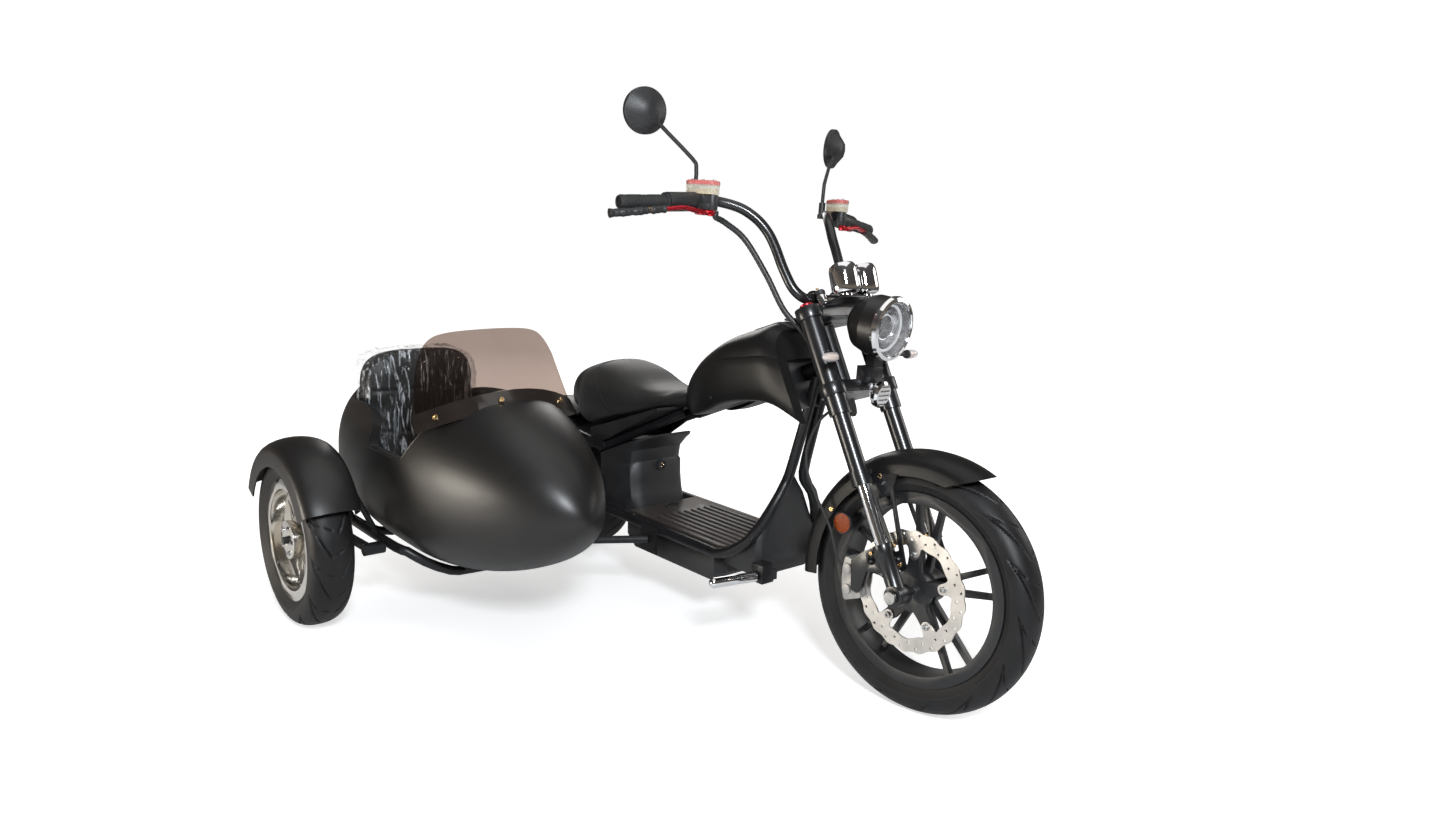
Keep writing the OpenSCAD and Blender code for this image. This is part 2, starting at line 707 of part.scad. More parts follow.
// Place on the leg that carries an indicator, and the indicator's tip
indicator_leg = fork_point(0, upper_clamp_t - 98.8) + [0, fork_y, 0];
indicator_tip = indicator_leg + [74.6, 89, 0];
indicator_stalk = indicator_tip - [0, 38, 0];

module front_indicators() color("#d8d6cf") steered() both_sides() {
    translate(indicator_tip) rotate([90, 0, 0]) rotate_extrude($fn = 32) polygon([
        [0, 0], [6, 3], [10, 12], [11, 26], [9, 38], [0, 40]]);
    along(indicator_stalk, indicator_leg) cylinder(r = 5, h = norm(indicator_leg - indicator_stalk) - 30.8);
}

// Loom from the right-hand controls down to the steering head, measured from the lower clamp's
// nose: x, y, z, share of the handlebar's rise that moves the point
loom_drawn = [[-310.1, -244, 370.4, 1], [-310.1, -244, 363.8, 1], [-310.1, -242, 355.8, 1],
    [-302.1, -214, 343.8, 1], [-271.1, -175, 307.8, 0.85], [-218.1, -148, 227.8, 0.6],
    [-172.1, -126, 146.8, 0.4], [-126.1, -98, 93.8, 0.2], [-94.1, -80, 28.8, 0.05], [-75.1, -70, 1.8, 0],
    [-68.5, -62, -16.1, 0], [-60.4, -62, -31.1, 0]];
bar_rise = bar_mid - clamp_nose - [-139.07, 0, 176.35];
loom_route = [for (p = loom_drawn) clamp_nose + [p[0], p[1], p[2]] + p[3] * bar_rise];

module cable_loom() color("#151516") steered() sweep(curve(loom_route, 3), 7, 8);

// Place of the hose fitting on the caliper's back
hose_end_a = 176;
function behind_axle(r, y) = [r * cos(hose_end_a), y, front_r + r * sin(hose_end_a)];

// Brake hose from the lower clamp to the caliper: x, y, z
hose_route = [[-260.8, -70, 701.2], [-252.9, -70, 686.6], [-284, -80, 650], [-306, -90, 584],
    [-300, -94, 534], [-284, -94, 500], [-258, -93, 460], [-238, -90, 432], [-218, -84, 394],
    [-206, -76, 350], [-200, -68, 322],
    behind_axle(caliper_out_r + 14, -63), behind_axle(caliper_out_r + seat_gap, -63)];

module brake_hose() color("#161617") steered() sweep(curve(hose_route, 3), 3.5, 8);

// Main frame

head_low_t = lower_clamp_t + clamp_half + 4;
head_high_t = upper_clamp_t - clamp_half - 4;
head_r = 24;

// Steering head frame that doesn't turn with the fork
module head_frame() placed() translate([0, 0, front_r]) rotate([0, -rake, 0]) children();

backbone_front = fork_point(-fork_offset - 10.4, lower_clamp_t + 84.7);
backbone_rear = [stretched(-838), 0, 576];
backbone_r = 21;
backbone_slope = atan2(backbone_front[2] - backbone_rear[2], backbone_front[0] - backbone_rear[0]);
backbone_len = norm(backbone_rear - backbone_front);
tunnel_gap = 8;
// Top of the rubber block that carries the tank, measured from the backbone's middle
tank_block_h = (backbone_r + tunnel_gap) * cos(backbone_slope) - seat_gap;

module backbone(r) placed() along(backbone_front, backbone_rear) cylinder(r = r, h = backbone_len);

module main_frame() color("#18181a") difference() {
    union() {
        head_frame() translate([-fork_offset, 0, head_low_t])
            cylinder(r = head_r, h = head_high_t - head_low_t);
        backbone(backbone_r);
        // Rubber block under the tank
        placed() along(backbone_front, backbone_rear) translate([-tank_block_h, -18, 220])
            cube([14, 36, 50]);
    }
    head_frame() translate([-fork_offset, 0, head_low_t - 10])
        cylinder(r = stem_r + 1, h = head_high_t - head_low_t + 20);
}

rail_y = 141;
rail_z = 247;
rail_front_x = stretched(-600);
rail_rear_x = stretched(-1180);
// Down tube route on the left, from the steering head to the floor rail: x, y, z
down_drawn = [[-352, 19, 750], [-383, 20, 640], [-406, 22, 560], [-428, 26, 480], [-432, 40, 448],
    [-430, 64, 418], [-446, 96, 358], [-474, 118, 306], [-528, 134, 264]];
down_route = concat(stretched_rows(down_drawn), [[rail_front_x + 26, rail_y, rail_z + 0.6],
    [rail_front_x + 12, rail_y, rail_z], [rail_front_x, rail_y, rail_z]]);

module down_tubes() color("#17171a") difference() {
    placed() both_sides() sweep(curve(down_route, 2), tube_r, 12);
    backbone(backbone_r + seat_gap);
}

plate_t = 12;
rail_joint = 0.9;

// Floor rails with cross tubes and the plates that carry the swingarm
module floor_frame() color("#17171a") placed() {
    both_sides() {
        translate([rail_front_x - rail_joint, rail_y, rail_z]) rotate([0, -90, 0])
            cylinder(r = tube_r, h = rail_front_x - rail_joint - rail_rear_x);
        difference() {
            translate([swing_pivot[0] - 26, rail_y - tube_r - 10, 238]) cube([90, plate_t, 90]);
            translate([swing_pivot[0], 0, swing_pivot[1]]) across()
                cylinder(r = swing_r + seat_gap, h = 400, center = true);
        }
    }
    for (x = [-640, -980]) translate([stretched(x), 0, rail_z - 4]) across()
        cylinder(r = 8, h = 2 * rail_y - 8, center = true);
}

floor_front_x = stretched(-545);
floor_rear_x = stretched(-994);
floor_t = 9;
rib_h = 4;
rib_w = 12;
rib_pitch = 25;
hatch_len = 110;

module floorboard() color("#2a2725") placed() {
    translate([0, 0, floor_z - floor_t - rib_h]) linear_extrude(floor_t) polygon([
        [floor_rear_x, -floor_half_w], [floor_front_x - 42, -floor_half_w],
        [floor_front_x, -floor_half_w + 26], [floor_front_x, floor_half_w - 26],
        [floor_front_x - 42, floor_half_w], [floor_rear_x, floor_half_w]]);
    for (i = [0:floor_ribs - 1])
        translate([floor_rear_x + hatch_len, (i - (floor_ribs - 1) / 2) * rib_pitch - rib_w / 2,
            floor_z - rib_h - 1])
            cube([floor_front_x - floor_rear_x - hatch_len - 15, rib_w, rib_h + 1]);
}

belly_half_w = 130;
belly_low_z = 158;
belly_top_z = rail_z - 4 - 8 - seat_gap;
// Side of the battery box: x, z
belly_outline = stretched_rows([[-1000, belly_top_z], [-1000, 190], [-960, belly_low_z],
    [-610, belly_low_z], [-596, 172], [-596, belly_top_z]]);

module belly_box() color("#1a1a1c") placed() rotate([90, 0, 0])
    translate([0, 0, -belly_half_w]) linear_extrude(2 * belly_half_w) polygon(belly_outline);

// Cover ahead of the battery, bottom to top: height, front, rear, half width
panel_drawn = [[206, -456, -592, 100], [232, -440, -592, 108], [246, -436, -592, 110],
    [floor_z - floor_t - rib_h - 0.4, -435, -544.6, 112], [268, -438, -530, 112],
    [310, -446, -500, 106], [350, -448, -480, 84], [390, -446, -464, 62], [420, -444, -460, 46],
    [450, -445, -457, 24], [470, -446, -454, 10]];
panel_levels = [for (p = panel_drawn) [p[0], stretched(p[1]), stretched(p[2]), p[3]]];
panel_corners = [[0, 0.72], [0.05, 0.9], [0.2, 1], [1, 1]];

module front_panel() color("#1d1d1f") placed() difference() {
    loft([for (p = panel_levels) concat(
        [for (c = panel_corners) [p[1] + c[0] * (p[2] - p[1]), p[3] * c[1], p[0]]],
        [for (i = [len(panel_corners) - 1:-1:0]) let (c = panel_corners[i])
            [p[1] + c[0] * (p[2] - p[1]), -p[3] * c[1], p[0]]])]);
    both_sides() sweep(curve(down_route, 2), tube_r + seat_gap, 12);
}

peg_x = stretched(-402);
peg_z = 236;
peg_in_y = 152;
peg_out_y = 290;
peg_r = 13;
bracket_half = 17;
bracket_in_y = 106;

// Clevises on the sides of the front cover that carry the footpegs
module peg_brackets() color("#29292b") placed() both_sides() difference() {
    union() {
        translate([peg_x - 52, bracket_in_y - 6, peg_z - 12]) cube([72, 22, 26]);
        translate([peg_x - 20, bracket_in_y + 6, peg_z - bracket_half])
            cube([40, peg_in_y - bracket_in_y - 6, 2 * bracket_half + 14]);
    }
    loft([for (p = panel_levels) concat(
        [for (c = panel_corners) [p[1] + seat_gap + c[0] * (p[2] - p[1]), (p[3] + seat_gap) * c[1], p[0]]],
        [for (i = [len(panel_corners) - 1:-1:0]) let (c = panel_corners[i])
            [p[1] + seat_gap + c[0] * (p[2] - p[1]), -(p[3] + seat_gap) * c[1], p[0]]])]);
}

module footpegs() color("#c4c4c6") placed() both_sides()
    along([peg_x, peg_in_y + seat_gap, peg_z], [peg_x - 26, peg_out_y, peg_z + 2]) {
        translate([0, 0, 2]) cylinder(r = 9, h = 4);
        translate([0, 0, 5]) cylinder(r = peg_r, h = peg_out_y - peg_in_y - peg_r - 5);
        translate([0, 0, peg_out_y - peg_in_y - peg_r]) sphere(r = peg_r);
    }

// Tank, saddle and tower

// Tank stations, rear to front: x, share of half width, bottom, top, crease, lean of the section,
// half of the tunnel
tank_stations = stretched_rows([
    [-796, 0.52, 608, 672, 648, 0, 40], [-788, 0.64, 596, 692, 658, 0, 40],
    [-745, 0.80, 590, 738, 686, 0, 40], [-690, 0.92, 608, 780, 722, 0, 40],
    [-610, 1.00, 644, 826, 762, 0, 40], [-520, 1.00, 666, 858, 780, 0, 42],
    [-442, 0.97, 674, 873, 792, -0.27, 54], [-384, 0.87, 640, 864, 792, -0.53, 84]]);
lean_z = 760;
crease_step = 4;

function tunnel_top(x) = backbone_rear[2] + (x - backbone_rear[0]) * (backbone_front[2] - backbone_rear[2])
    / (backbone_front[0] - backbone_rear[0]) + backbone_r + tunnel_gap;

// Half of a tank ring as share of width and height, from the tunnel to the crown
function tank_half(s) = let (w = s[1] * tank_half_w, slot = min(s[6], 0.76 * w),
        roof = min(tunnel_top(s[0]), s[4]))
    concat([[slot, max(roof, s[2] + 6)], [slot, s[2]], [w * 0.86, s[2]],
        [w * 0.96, s[2] + 0.12 * (s[4] - s[2])], [w, s[2] + 0.5 * (s[4] - s[2])], [w, s[4]],
        [w - crease_step, s[4] + crease_step]],
        [for (a = [15:15:75]) [(w - crease_step) * pow(cos(a), 0.8),
            s[4] + crease_step + (s[3] - s[4] - crease_step) * pow(sin(a), 0.8)]]);
function tank_ring(s) = let (half = tank_half(s), top = [[0, s[3]]])
    [for (q = concat(half, top, [for (i = [len(half) - 1:-1:0]) [-half[i][0], half[i][1]]]))
        [s[0] + s[5] * (q[1] - lean_z), q[0], q[1]]];

module tank() color("#232324") placed() loft([for (s = tank_stations) tank_ring(s)]);

seat_slope = 18.9;
seat_origin = [stretched(-900), 0, 584];
function seat_z(x) = seat_origin[2] + (x - seat_origin[0]) * tan(seat_slope);

// Saddle stations, rear to front: x, share of half width, top, lowest bottom
saddle_stations = stretched_rows([
    [-1364, 0.36, 574, 530], [-1354, 0.57, 598, 516], [-1322, 0.82, 636, 500], [-1270, 0.96, 664, 470],
    [-1200, 1.00, 678, 0], [-1110, 0.95, 664, 0], [-1010, 0.84, 633, 0], [-920, 0.70, 630, 0],
    [-850, 0.62, 643, 0], [-800, 0.56, 652, 0]]);

module saddle() color("#242424") placed() loft([for (s = saddle_stations)
    let (low = max(seat_z(s[0]) + seat_gap, s[3]), w = s[1] * saddle_half_w)
    rounded_ring(s[0], 0, w, low, s[2], low + 0.42 * (s[2] - low), 2.6, 24)]);

// Seat rails under the saddle spread from the backbone to the rear, front end and rear end: x, y, z
seat_rail_front = [stretched(-876), 14, 570];
seat_rail_rear = [stretched(-1190), 103.7, 408.8];
seat_rail_slope = atan2(seat_rail_front[2] - seat_rail_rear[2], seat_rail_front[0] - seat_rail_rear[0]);
function seat_rail_z(x) = seat_rail_front[2] + (x - seat_rail_front[0]) * tan(seat_rail_slope);
rail_rise = (tube_r + seat_gap) / cos(seat_rail_slope);
pan_half_w = 108;
pan_rear_x = stretched(-1236);
pan_front_x = stretched(-892);

// Wedge that fills the side between saddle and rails
module seat_pan() color("#1b1b1c") placed() rotate([90, 0, 0]) translate([0, 0, -pan_half_w])
    linear_extrude(2 * pan_half_w) polygon([
        [pan_rear_x, seat_z(pan_rear_x) - seat_gap], [pan_rear_x, seat_rail_z(pan_rear_x) + rail_rise],
        [pan_front_x, seat_rail_z(pan_front_x) + rail_rise],
        [pan_front_x, seat_z(pan_front_x) - seat_gap]]);

module seat_rails() color("#17171a") placed() {
    both_sides() along(seat_rail_rear, seat_rail_front)
        cylinder(r = tube_r, h = norm(seat_rail_front - seat_rail_rear));
    for (x = [stretched(-1060), stretched(-1170)]) {
        share = (x - seat_rail_front[0]) / (seat_rail_rear[0] - seat_rail_front[0]);
        y = seat_rail_front[1] + share * (seat_rail_rear[1] - seat_rail_front[1]);
        translate([x, 0, seat_rail_z(x)]) across() cylinder(r = 9, h = 2 * y, center = true);
    }
    // Neck that joins the rails to the backbone
    along(backbone_rear, 2 * backbone_rear - backbone_front) translate([0, 0, seat_gap])
        cylinder(r = 17, h = 54);
}

// Swingarm pivot ahead of the rear axle, and the tower's back ahead of the pivot
swing_ahead = 286;
tower_rear_gap = 42;
tower_rear_x = -wheelbase + swing_ahead + tower_rear_gap;
tower_low_z = 240;
tower_top_slope = 0.415;
// Tower levels, bottom to top: share of the height, front, share of the half width
tower_drawn = [[0, -996, 1], [0.115, -996, 1], [0.25, -1008, 1], [0.45, -1016, 1], [0.66, -1018, 1],
    [0.70, -1022, 0.955], [0.86, -1014, 0.955], [0.94, -984, 0.97], [0.97, -964, 0.98], [1, -962, 0.98]];
tower_levels = [for (level = tower_drawn) [level[0], stretched(level[1]), level[2]]];
// Plan of the tower's front corners: share of the depth, share of the half width
tower_corners = [[0, 0.5], [0.03, 0.68], [0.12, 0.85], [0.34, 0.96], [1, 1]];

// Height of the tower's top, kept under the seat rails
function tower_top(x) = seat_rail_z(tower_rear_x) - rail_rise + (x - tower_rear_x) * tower_top_slope;
function tower_point(level, c, side) = let (x = level[1] + c[0] * (tower_rear_x - level[1]))
    [x, side * c[1] * level[2] * tower_half_w, tower_low_z + level[0] * (tower_top(x) - tower_low_z)];
function tower_ring(level) = concat(
    [for (c = tower_corners) tower_point(level, c, 1)],
    [for (i = [len(tower_corners) - 1:-1:0]) tower_point(level, tower_corners[i], -1)]);

module seat_tower() color("#222123") placed() loft([for (level = tower_levels) tower_ring(level)]);

module charge_port() color("#141416") placed() translate([stretched(-1017), 6, 380]) rotate([0, 90, 0])
    linear_extrude(8) difference() {
        circle(r = 18, $fn = 6);
        circle(r = 13, $fn = 6);
    }

// Rear end

rear_fender_half_w = 117;
rear_fender_front_a = 64;
rear_fender_sweep = 112;
swing_y = 152;
swing_r = 16;
swing_pivot = [-wheelbase + swing_ahead, 290];
arm_half = 13;

module rear_fender() color("#222223") rear_wheel_frame() rotate([0, 0, rear_fender_front_a])
    rotate_extrude(angle = rear_fender_sweep, $fn = 96)
        fender_section(rear_fender_r, rear_fender_half_w, 54, 4, 30);

strut_t = 8;
rail_end_y = 109.2;
strut_y = rear_fender_half_w + seat_gap;
// Fender strut from the seat rail back along the fender, front and rear: x, z
strut_front = [stretched(-1150), 428];
strut_rear = [-wheelbase - 90, 470];
shock_top = [stretched(-1336), 442];
shock_foot = [stretched(-1432), 276];

module fender_struts() color("#18181a") placed() both_sides() {
    translate([0, strut_y + strut_t, 0]) rotate([90, 0, 0]) linear_extrude(strut_t) union() {
        polygon([strut_front + [0, -14], strut_rear + [0, -11], strut_rear + [0, 11], strut_front + [0, 14]]);
        translate(strut_front) circle(r = 14);
        translate(strut_rear) circle(r = 11);
        translate(shock_top) circle(r = 16);
    }
    translate([strut_front[0], rail_end_y, strut_front[1]]) rotate([-90, 0, 0])
        cylinder(r = 8, h = strut_y - rail_end_y + 2);
    translate([shock_top[0], strut_y, shock_top[1]]) rotate([-90, 0, 0])
        cylinder(r = 9, h = swing_y - strut_y - 10 - seat_gap);
}

module tail_lamp() color("#8f1a1c") rear_wheel_frame() rotate([0, 0, 158])
    translate([rear_fender_r + seat_gap, 0, 0])
    rotate([0, 90, 0]) linear_extrude(24) union() {
        square([90, 30], center = true);
        for (side = [-1, 1]) translate([45 * side, 0]) circle(r = 15);
    }

module rear_indicators() color("#d8d6cf") placed() both_sides()
    translate([strut_rear[0], strut_y + strut_t + seat_gap, strut_rear[1]]) rotate([-90, 0, 0]) {
        cylinder(r = 5, h = 30);
        translate([0, 0, 28]) rotate_extrude($fn = 32)
            polygon([[0, 0], [10, 2], [12, 12], [10, 26], [0, 38]]);
    }

module swingarm() color("#18181a") placed() {
    both_sides() translate([0, swing_y + arm_half, 0]) across() linear_extrude(2 * arm_half) union() {
        translate(swing_pivot) circle(r = 20);
        translate([-wheelbase, rear_r]) circle(r = 23);
        polygon([swing_pivot + [4, 16], swing_pivot + [-4, -16], [-wheelbase - 3, rear_r - 18],
            [-wheelbase + 3, rear_r + 18]]);
    }
    translate([swing_pivot[0], 0, swing_pivot[1]]) across()
        cylinder(r = swing_r, h = 2 * swing_y, center = true);
    translate([-wheelbase, 0, rear_r]) across()
        cylinder(r = rear_axle_r, h = 2 * swing_y + 50, center = true);
}

module rear_shocks() color("#2b2b2d") placed() both_sides() {
    foot = [shock_foot[0], swing_y, shock_foot[1]];
    top = [shock_top[0], swing_y, shock_top[1]];
    along(foot, top) {
        cylinder(r = 7, h = norm(top - foot));
        translate([0, 0, 36]) cylinder(r = 20, h = norm(top - foot) - 60);
    }
    translate(top) across() cylinder(r = 11, h = 20, center = true);
}

// Sidecar

tub_wide_x = -1132;
tub_mid_z = 403;
tub_up = 282;
tub_down = 240;
tub_bulge = 2.3;

// Share of the full section at a place along the tub, -1 tail to 1 nose
function tub_share(s) = let (n = s > 0 ? 1.72 : 2.9) pow(max(0, 1 - pow(abs(s), n)), 1 / n);
function tub_ring(s, wall) = let (k = max(0.04, tub_share(s)),
    len_s = s > 0 ? tub_nose_len - wall : tub_tail_len - wall)
    rounded_ring(tub_wide_x + s * len_s, -side_y, (tub_half_w - wall) * k,
        tub_mid_z - (tub_down - wall) * k, tub_mid_z + (tub_up - wall) * k, tub_mid_z, tub_bulge, 32);
tub_places = [-1, -0.985, -0.94, -0.86, -0.74, -0.58, -0.4, -0.2, 0, 0.18, 0.36, 0.52, 0.66, 0.78, 0.88,
    0.95, 0.99, 1];

module tub_body(wall) loft([for (s = tub_places) tub_ring(s, wall)]);

// Cockpit outline in plan: x, distance to the left of the tub's middle
cockpit = [[-955, 0], [-975, -120], [-1020, -200], [-1062, -232], [-1120, -250], [-1286, -250],
    [-1300, -214], [-1420, -196], [-1540, -184], [-1582, -150], [-1590, 0], [-1582, 150], [-1540, 184],
    [-1420, 190], [-1120, 196], [-1020, 170], [-975, 110]];
cockpit_low_z = 484;

module sidecar_tub() color("#242322") side_placed() difference() {
    tub_body(0);
    tub_body(tub_wall);
    translate([0, -side_y, cockpit_low_z]) linear_extrude(400) polygon(cockpit);
}

// Seat cushion and backrest, rear to front: x, half width, bottom, top
cushion_rows = [[-1452, 120, 252, 320], [-1442, 140, 240, 344], [-1300, 146, 236, 352],
    [-1160, 140, 240, 344], [-1150, 120, 252, 320]];
back_rows = [[-1568, 128, 372, 640], [-1558, 146, 362, 660], [-1500, 164, 356, 712],
    [-1468, 164, 356, 714], [-1458, 146, 366, 690]];

module sidecar_seat() color("#1e1e20") side_placed() {
    for (rows = [cushion_rows, back_rows])
        loft([for (r = rows) rounded_ring(r[0], -side_y, r[1], r[2], r[3], (r[2] + r[3]) / 2, 4.5, 20)]);
    // Base that stands on the floor of the tub
    intersection() {
        translate([0, -side_y + 110, 0]) rotate([90, 0, 0]) linear_extrude(220) polygon([
            [-1535, 150], [-1180, 150], [-1180, 300], [-1468, 300], [-1478, 390], [-1535, 390]]);
        tub_body(tub_wall + seat_gap);
    }
}

screen_t = 4;
screen_half_a = 74;

// Screen rows from base to top: x of the middle, radius across, height, sweep back at the ends
screen_rows = [[-905, 236, 640, 96], [-940, 226, 690, 92], [-985, 214, 752, 82], [-1030, 200, 822, 66]];
function screen_point(row, a, off) = let (q = sin(a) / sin(screen_half_a))
    [row[0] - row[3] * q * q - off, -side_y + row[1] * q, row[2] - (row[2] < 700 ? 62 : 20) * q * q];

module screen_skin(rows) loft([for (a = [-screen_half_a:screen_half_a / 6:screen_half_a]) concat(
    [for (row = rows) screen_point(row, -a, 0)],
    [for (i = [len(rows) - 1:-1:0]) screen_point(rows[i], -a, screen_t)])]);

module sidecar_screen() color("#7b6a5e") side_placed() difference() {
    screen_skin(screen_rows);
    tub_body(-seat_gap);
}

module screen_band() color("#1c1b1a") side_placed() difference() {
    translate([5, 0, 0]) screen_skin([[-894, 242, 633, 99], [-924, 230, 676, 94]]);
    tub_body(-seat_gap);
}

cradle_r = 13;
cradle_low_z = 150;
outer_rail_y = -785;
inner_rail_y = -334;
outer_rail_z = 230;
inner_rail_z = 205;
// Tube that cradles the tub from its inner rear round the outside to the scooter: x, y, z
cradle_route = [[-1490, inner_rail_y, inner_rail_z], [-1490, -400, 172], [-1490, -460, cradle_low_z + 12],
    [-1490, -650, cradle_low_z + 12], [-1490, -720, 186], [-1478, -768, 222],
    [-1440, outer_rail_y, outer_rail_z], [-1150, outer_rail_y, outer_rail_z], [-1108, -772, 227],
    [-1086, -730, 196], [-1080, -660, cradle_low_z + 9], [-1080, -600, cradle_low_z + 1],
    [-1080, -450, cradle_low_z], [-1080, -390, 168],
    [-1080, inner_rail_y, inner_rail_z]];
inner_rail_front_x = -930;
inner_rail_rear_x = -1510;
// Struts from the inner rail to the floor rails: x of the inner end, x at the scooter
strut_xs = [[-1000, -850], [-1160, -1120]];
// Rubber pads between cradle and tub: x, y
pad_places = [[-1080, -500], [-1080, -610], [-1490, -500], [-1490, -610]];

module sidecar_frame() color("#18181a") side_placed() {
    sweep(curve(cradle_route, 2), cradle_r, 10);
    translate([inner_rail_front_x, inner_rail_y, inner_rail_z]) rotate([0, -90, 0])
        cylinder(r = cradle_r, h = inner_rail_front_x - inner_rail_rear_x);
    for (x = strut_xs) {
        outer = [x[0], inner_rail_y, inner_rail_z];
        inner = [x[1], -rail_y - tube_r - 8, rail_z - 30];
        along(outer, inner) cylinder(r = cradle_r - 2, h = norm(inner - outer));
        translate([x[1] - 34, -rail_y - tube_r - 8 - seat_gap, rail_z - 68]) cube([68, 8, 76]);
    }
    difference() {
        for (p = pad_places) translate([p[0], p[1], cradle_low_z]) cylinder(r = 16, h = 80);
        tub_body(-seat_gap);
    }
    // Arms out to the fender's inner side
    for (x = [-1262, -1428]) {
        along([x, outer_rail_y, outer_rail_z], [x, -870, 404]) cylinder(r = 8, h = 194);
        translate([x - 14, -side_wheel_y + side_fender_half_w + seat_gap, 388]) cube([28, 12, 32]);
    }
}

arm_y = 864;
arm_pivot = [-1196, -838, 222];

// Trailing arm with the stub axle of the sidecar wheel
module sidecar_arm() color("#1a1a1c") side_placed() {
    axle = [-side_drawn_x, -arm_y, side_r];
    translate(axle) rotate([90, 0, 0]) cylinder(r = side_axle_r, h = side_wheel_y - arm_y + 58);
    translate(axle) across() cylinder(r = 20, h = 28, center = true);
    along(axle, arm_pivot) cylinder(r = 13, h = norm(arm_pivot - axle));
    translate([arm_pivot[0], outer_rail_y - cradle_r - 2 * seat_gap, arm_pivot[2]]) rotate([90, 0, 0])
        cylinder(r = 17, h = 56);
}

module sidecar_fender() color("#232324") side_wheel_frame() rotate([0, 0, 28])
    rotate_extrude(angle = 128, $fn = 96) fender_section(side_fender_r, side_fender_half_w, 74, 4, 34);

front_tyre();
front_rim();
front_disc();
front_axle();
fork_lowers();
fork_stanchions();
fork_uppers();
lower_clamp();
upper_clamp();
front_fender();
fender_stays();
brake_caliper();
handlebar();
grips();
bar_controls();
reservoirs();
brake_levers();
mirrors();
mirror_glass();
headlamp_bucket();
headlamp_ring();
headlamp_lens();
gauges();
horn();
front_indicators();
cable_loom();
brake_hose();
main_frame();
down_tubes();
floor_frame();
floorboard();
belly_box();
front_panel();
peg_brackets();
footpegs();
tank();
saddle();
seat_pan();
seat_rails();
seat_tower();
charge_port();
rear_fender();
fender_struts();
tail_lamp();
rear_indicators();
swingarm();
rear_shocks();
rear_tyre();
rear_rim();
sidecar_frame();
sidecar_tub();
sidecar_seat();
sidecar_screen();
screen_band();
sidecar_arm();
sidecar_fender();
sidecar_tyre();
sidecar_rim();
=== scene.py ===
import json
import math
import bmesh
import bpy
import numpy as np
from mathutils import Matrix, Vector, geometry, noise

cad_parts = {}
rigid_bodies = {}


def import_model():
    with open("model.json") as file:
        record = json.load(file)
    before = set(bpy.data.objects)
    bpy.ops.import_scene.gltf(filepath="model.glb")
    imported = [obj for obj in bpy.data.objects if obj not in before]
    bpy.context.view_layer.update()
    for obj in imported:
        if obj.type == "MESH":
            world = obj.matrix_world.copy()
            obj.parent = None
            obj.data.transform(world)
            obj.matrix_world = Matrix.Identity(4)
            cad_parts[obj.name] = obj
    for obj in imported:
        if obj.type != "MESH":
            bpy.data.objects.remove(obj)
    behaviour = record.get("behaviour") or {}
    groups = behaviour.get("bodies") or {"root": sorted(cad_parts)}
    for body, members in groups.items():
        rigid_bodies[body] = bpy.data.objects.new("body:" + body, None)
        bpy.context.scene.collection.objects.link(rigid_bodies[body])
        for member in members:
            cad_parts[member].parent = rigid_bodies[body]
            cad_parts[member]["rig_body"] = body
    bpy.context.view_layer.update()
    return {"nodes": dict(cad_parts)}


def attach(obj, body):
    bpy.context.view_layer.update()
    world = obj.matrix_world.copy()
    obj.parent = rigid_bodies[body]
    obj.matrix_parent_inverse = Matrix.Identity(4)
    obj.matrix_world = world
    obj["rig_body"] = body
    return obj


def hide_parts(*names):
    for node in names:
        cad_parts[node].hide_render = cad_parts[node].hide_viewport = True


for leftover in list(bpy.data.objects):  # start-up cube, lamp and camera
    bpy.data.objects.remove(leftover)
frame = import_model()
nodes = frame["nodes"]
scene = bpy.context.scene
print("frame loaded,", len(nodes), "solids")

# places, in millimetres from the front axle's ground point
layout = {"middle": (-746.8, -264.3, 0), "rake": 28, "restTurn": 6.7, "forkOffset": 45,
          "frontR": 296, "rearR": 238, "sideR": 238, "wheelbase": 1500,
          "sideAxle": (-1345, -957), "lampFront": (-150, 0, 886), "lampTilt": 96}


def moved(x, y, z):
    return Matrix.Translation((x, y, z))


def turned(degrees, axis):
    return Matrix.Rotation(math.radians(degrees), 4, axis)


rake = math.radians(layout["rake"])
steerPivot = Vector((-layout["forkOffset"] * math.cos(rake), 0,
                     layout["frontR"] - layout["forkOffset"] * math.sin(rake)))
steerAxis = Vector((-math.sin(rake), 0, math.cos(rake)))
placed = Matrix.Scale(0.001, 4) @ Matrix.Translation(-Vector(layout["middle"]))
steered = (placed @ Matrix.Translation(steerPivot) @ turned(layout["restTurn"], steerAxis)
           @ Matrix.Translation(-steerPivot))
forkFrame = steered @ moved(0, 0, layout["frontR"]) @ turned(-layout["rake"], "Y")
frontWheel = steered @ moved(0, 0, layout["frontR"]) @ turned(90, "X")
rearWheel = placed @ moved(-layout["wheelbase"], 0, layout["rearR"]) @ turned(90, "X")
sideWheel = placed @ moved(*layout["sideAxle"], layout["sideR"]) @ turned(90, "X")
lampFrame = steered @ moved(*layout["lampFront"]) @ turned(layout["lampTilt"], "Y")
mirrored = Matrix.Scale(-1, 4, Vector((0, 1, 0)))
unturned = Matrix.Identity(4)
flips = (unturned, mirrored)


# shells: lists of points and faces, in millimetres
def spline(points, steps):
    pts = [np.array(p, float) for p in points]
    out = []
    for i in range(len(pts) - 1):
        a, b, c, d = pts[max(i - 1, 0)], pts[i], pts[i + 1], pts[min(i + 2, len(pts) - 1)]
        for s in range(steps):
            t = s / steps
            out.append(0.5 * (2 * b + (c - a) * t + (2 * a - 5 * b + 4 * c - d) * t * t
                              + (3 * b - a - 3 * c + d) * t ** 3))
    return out + [pts[-1]]


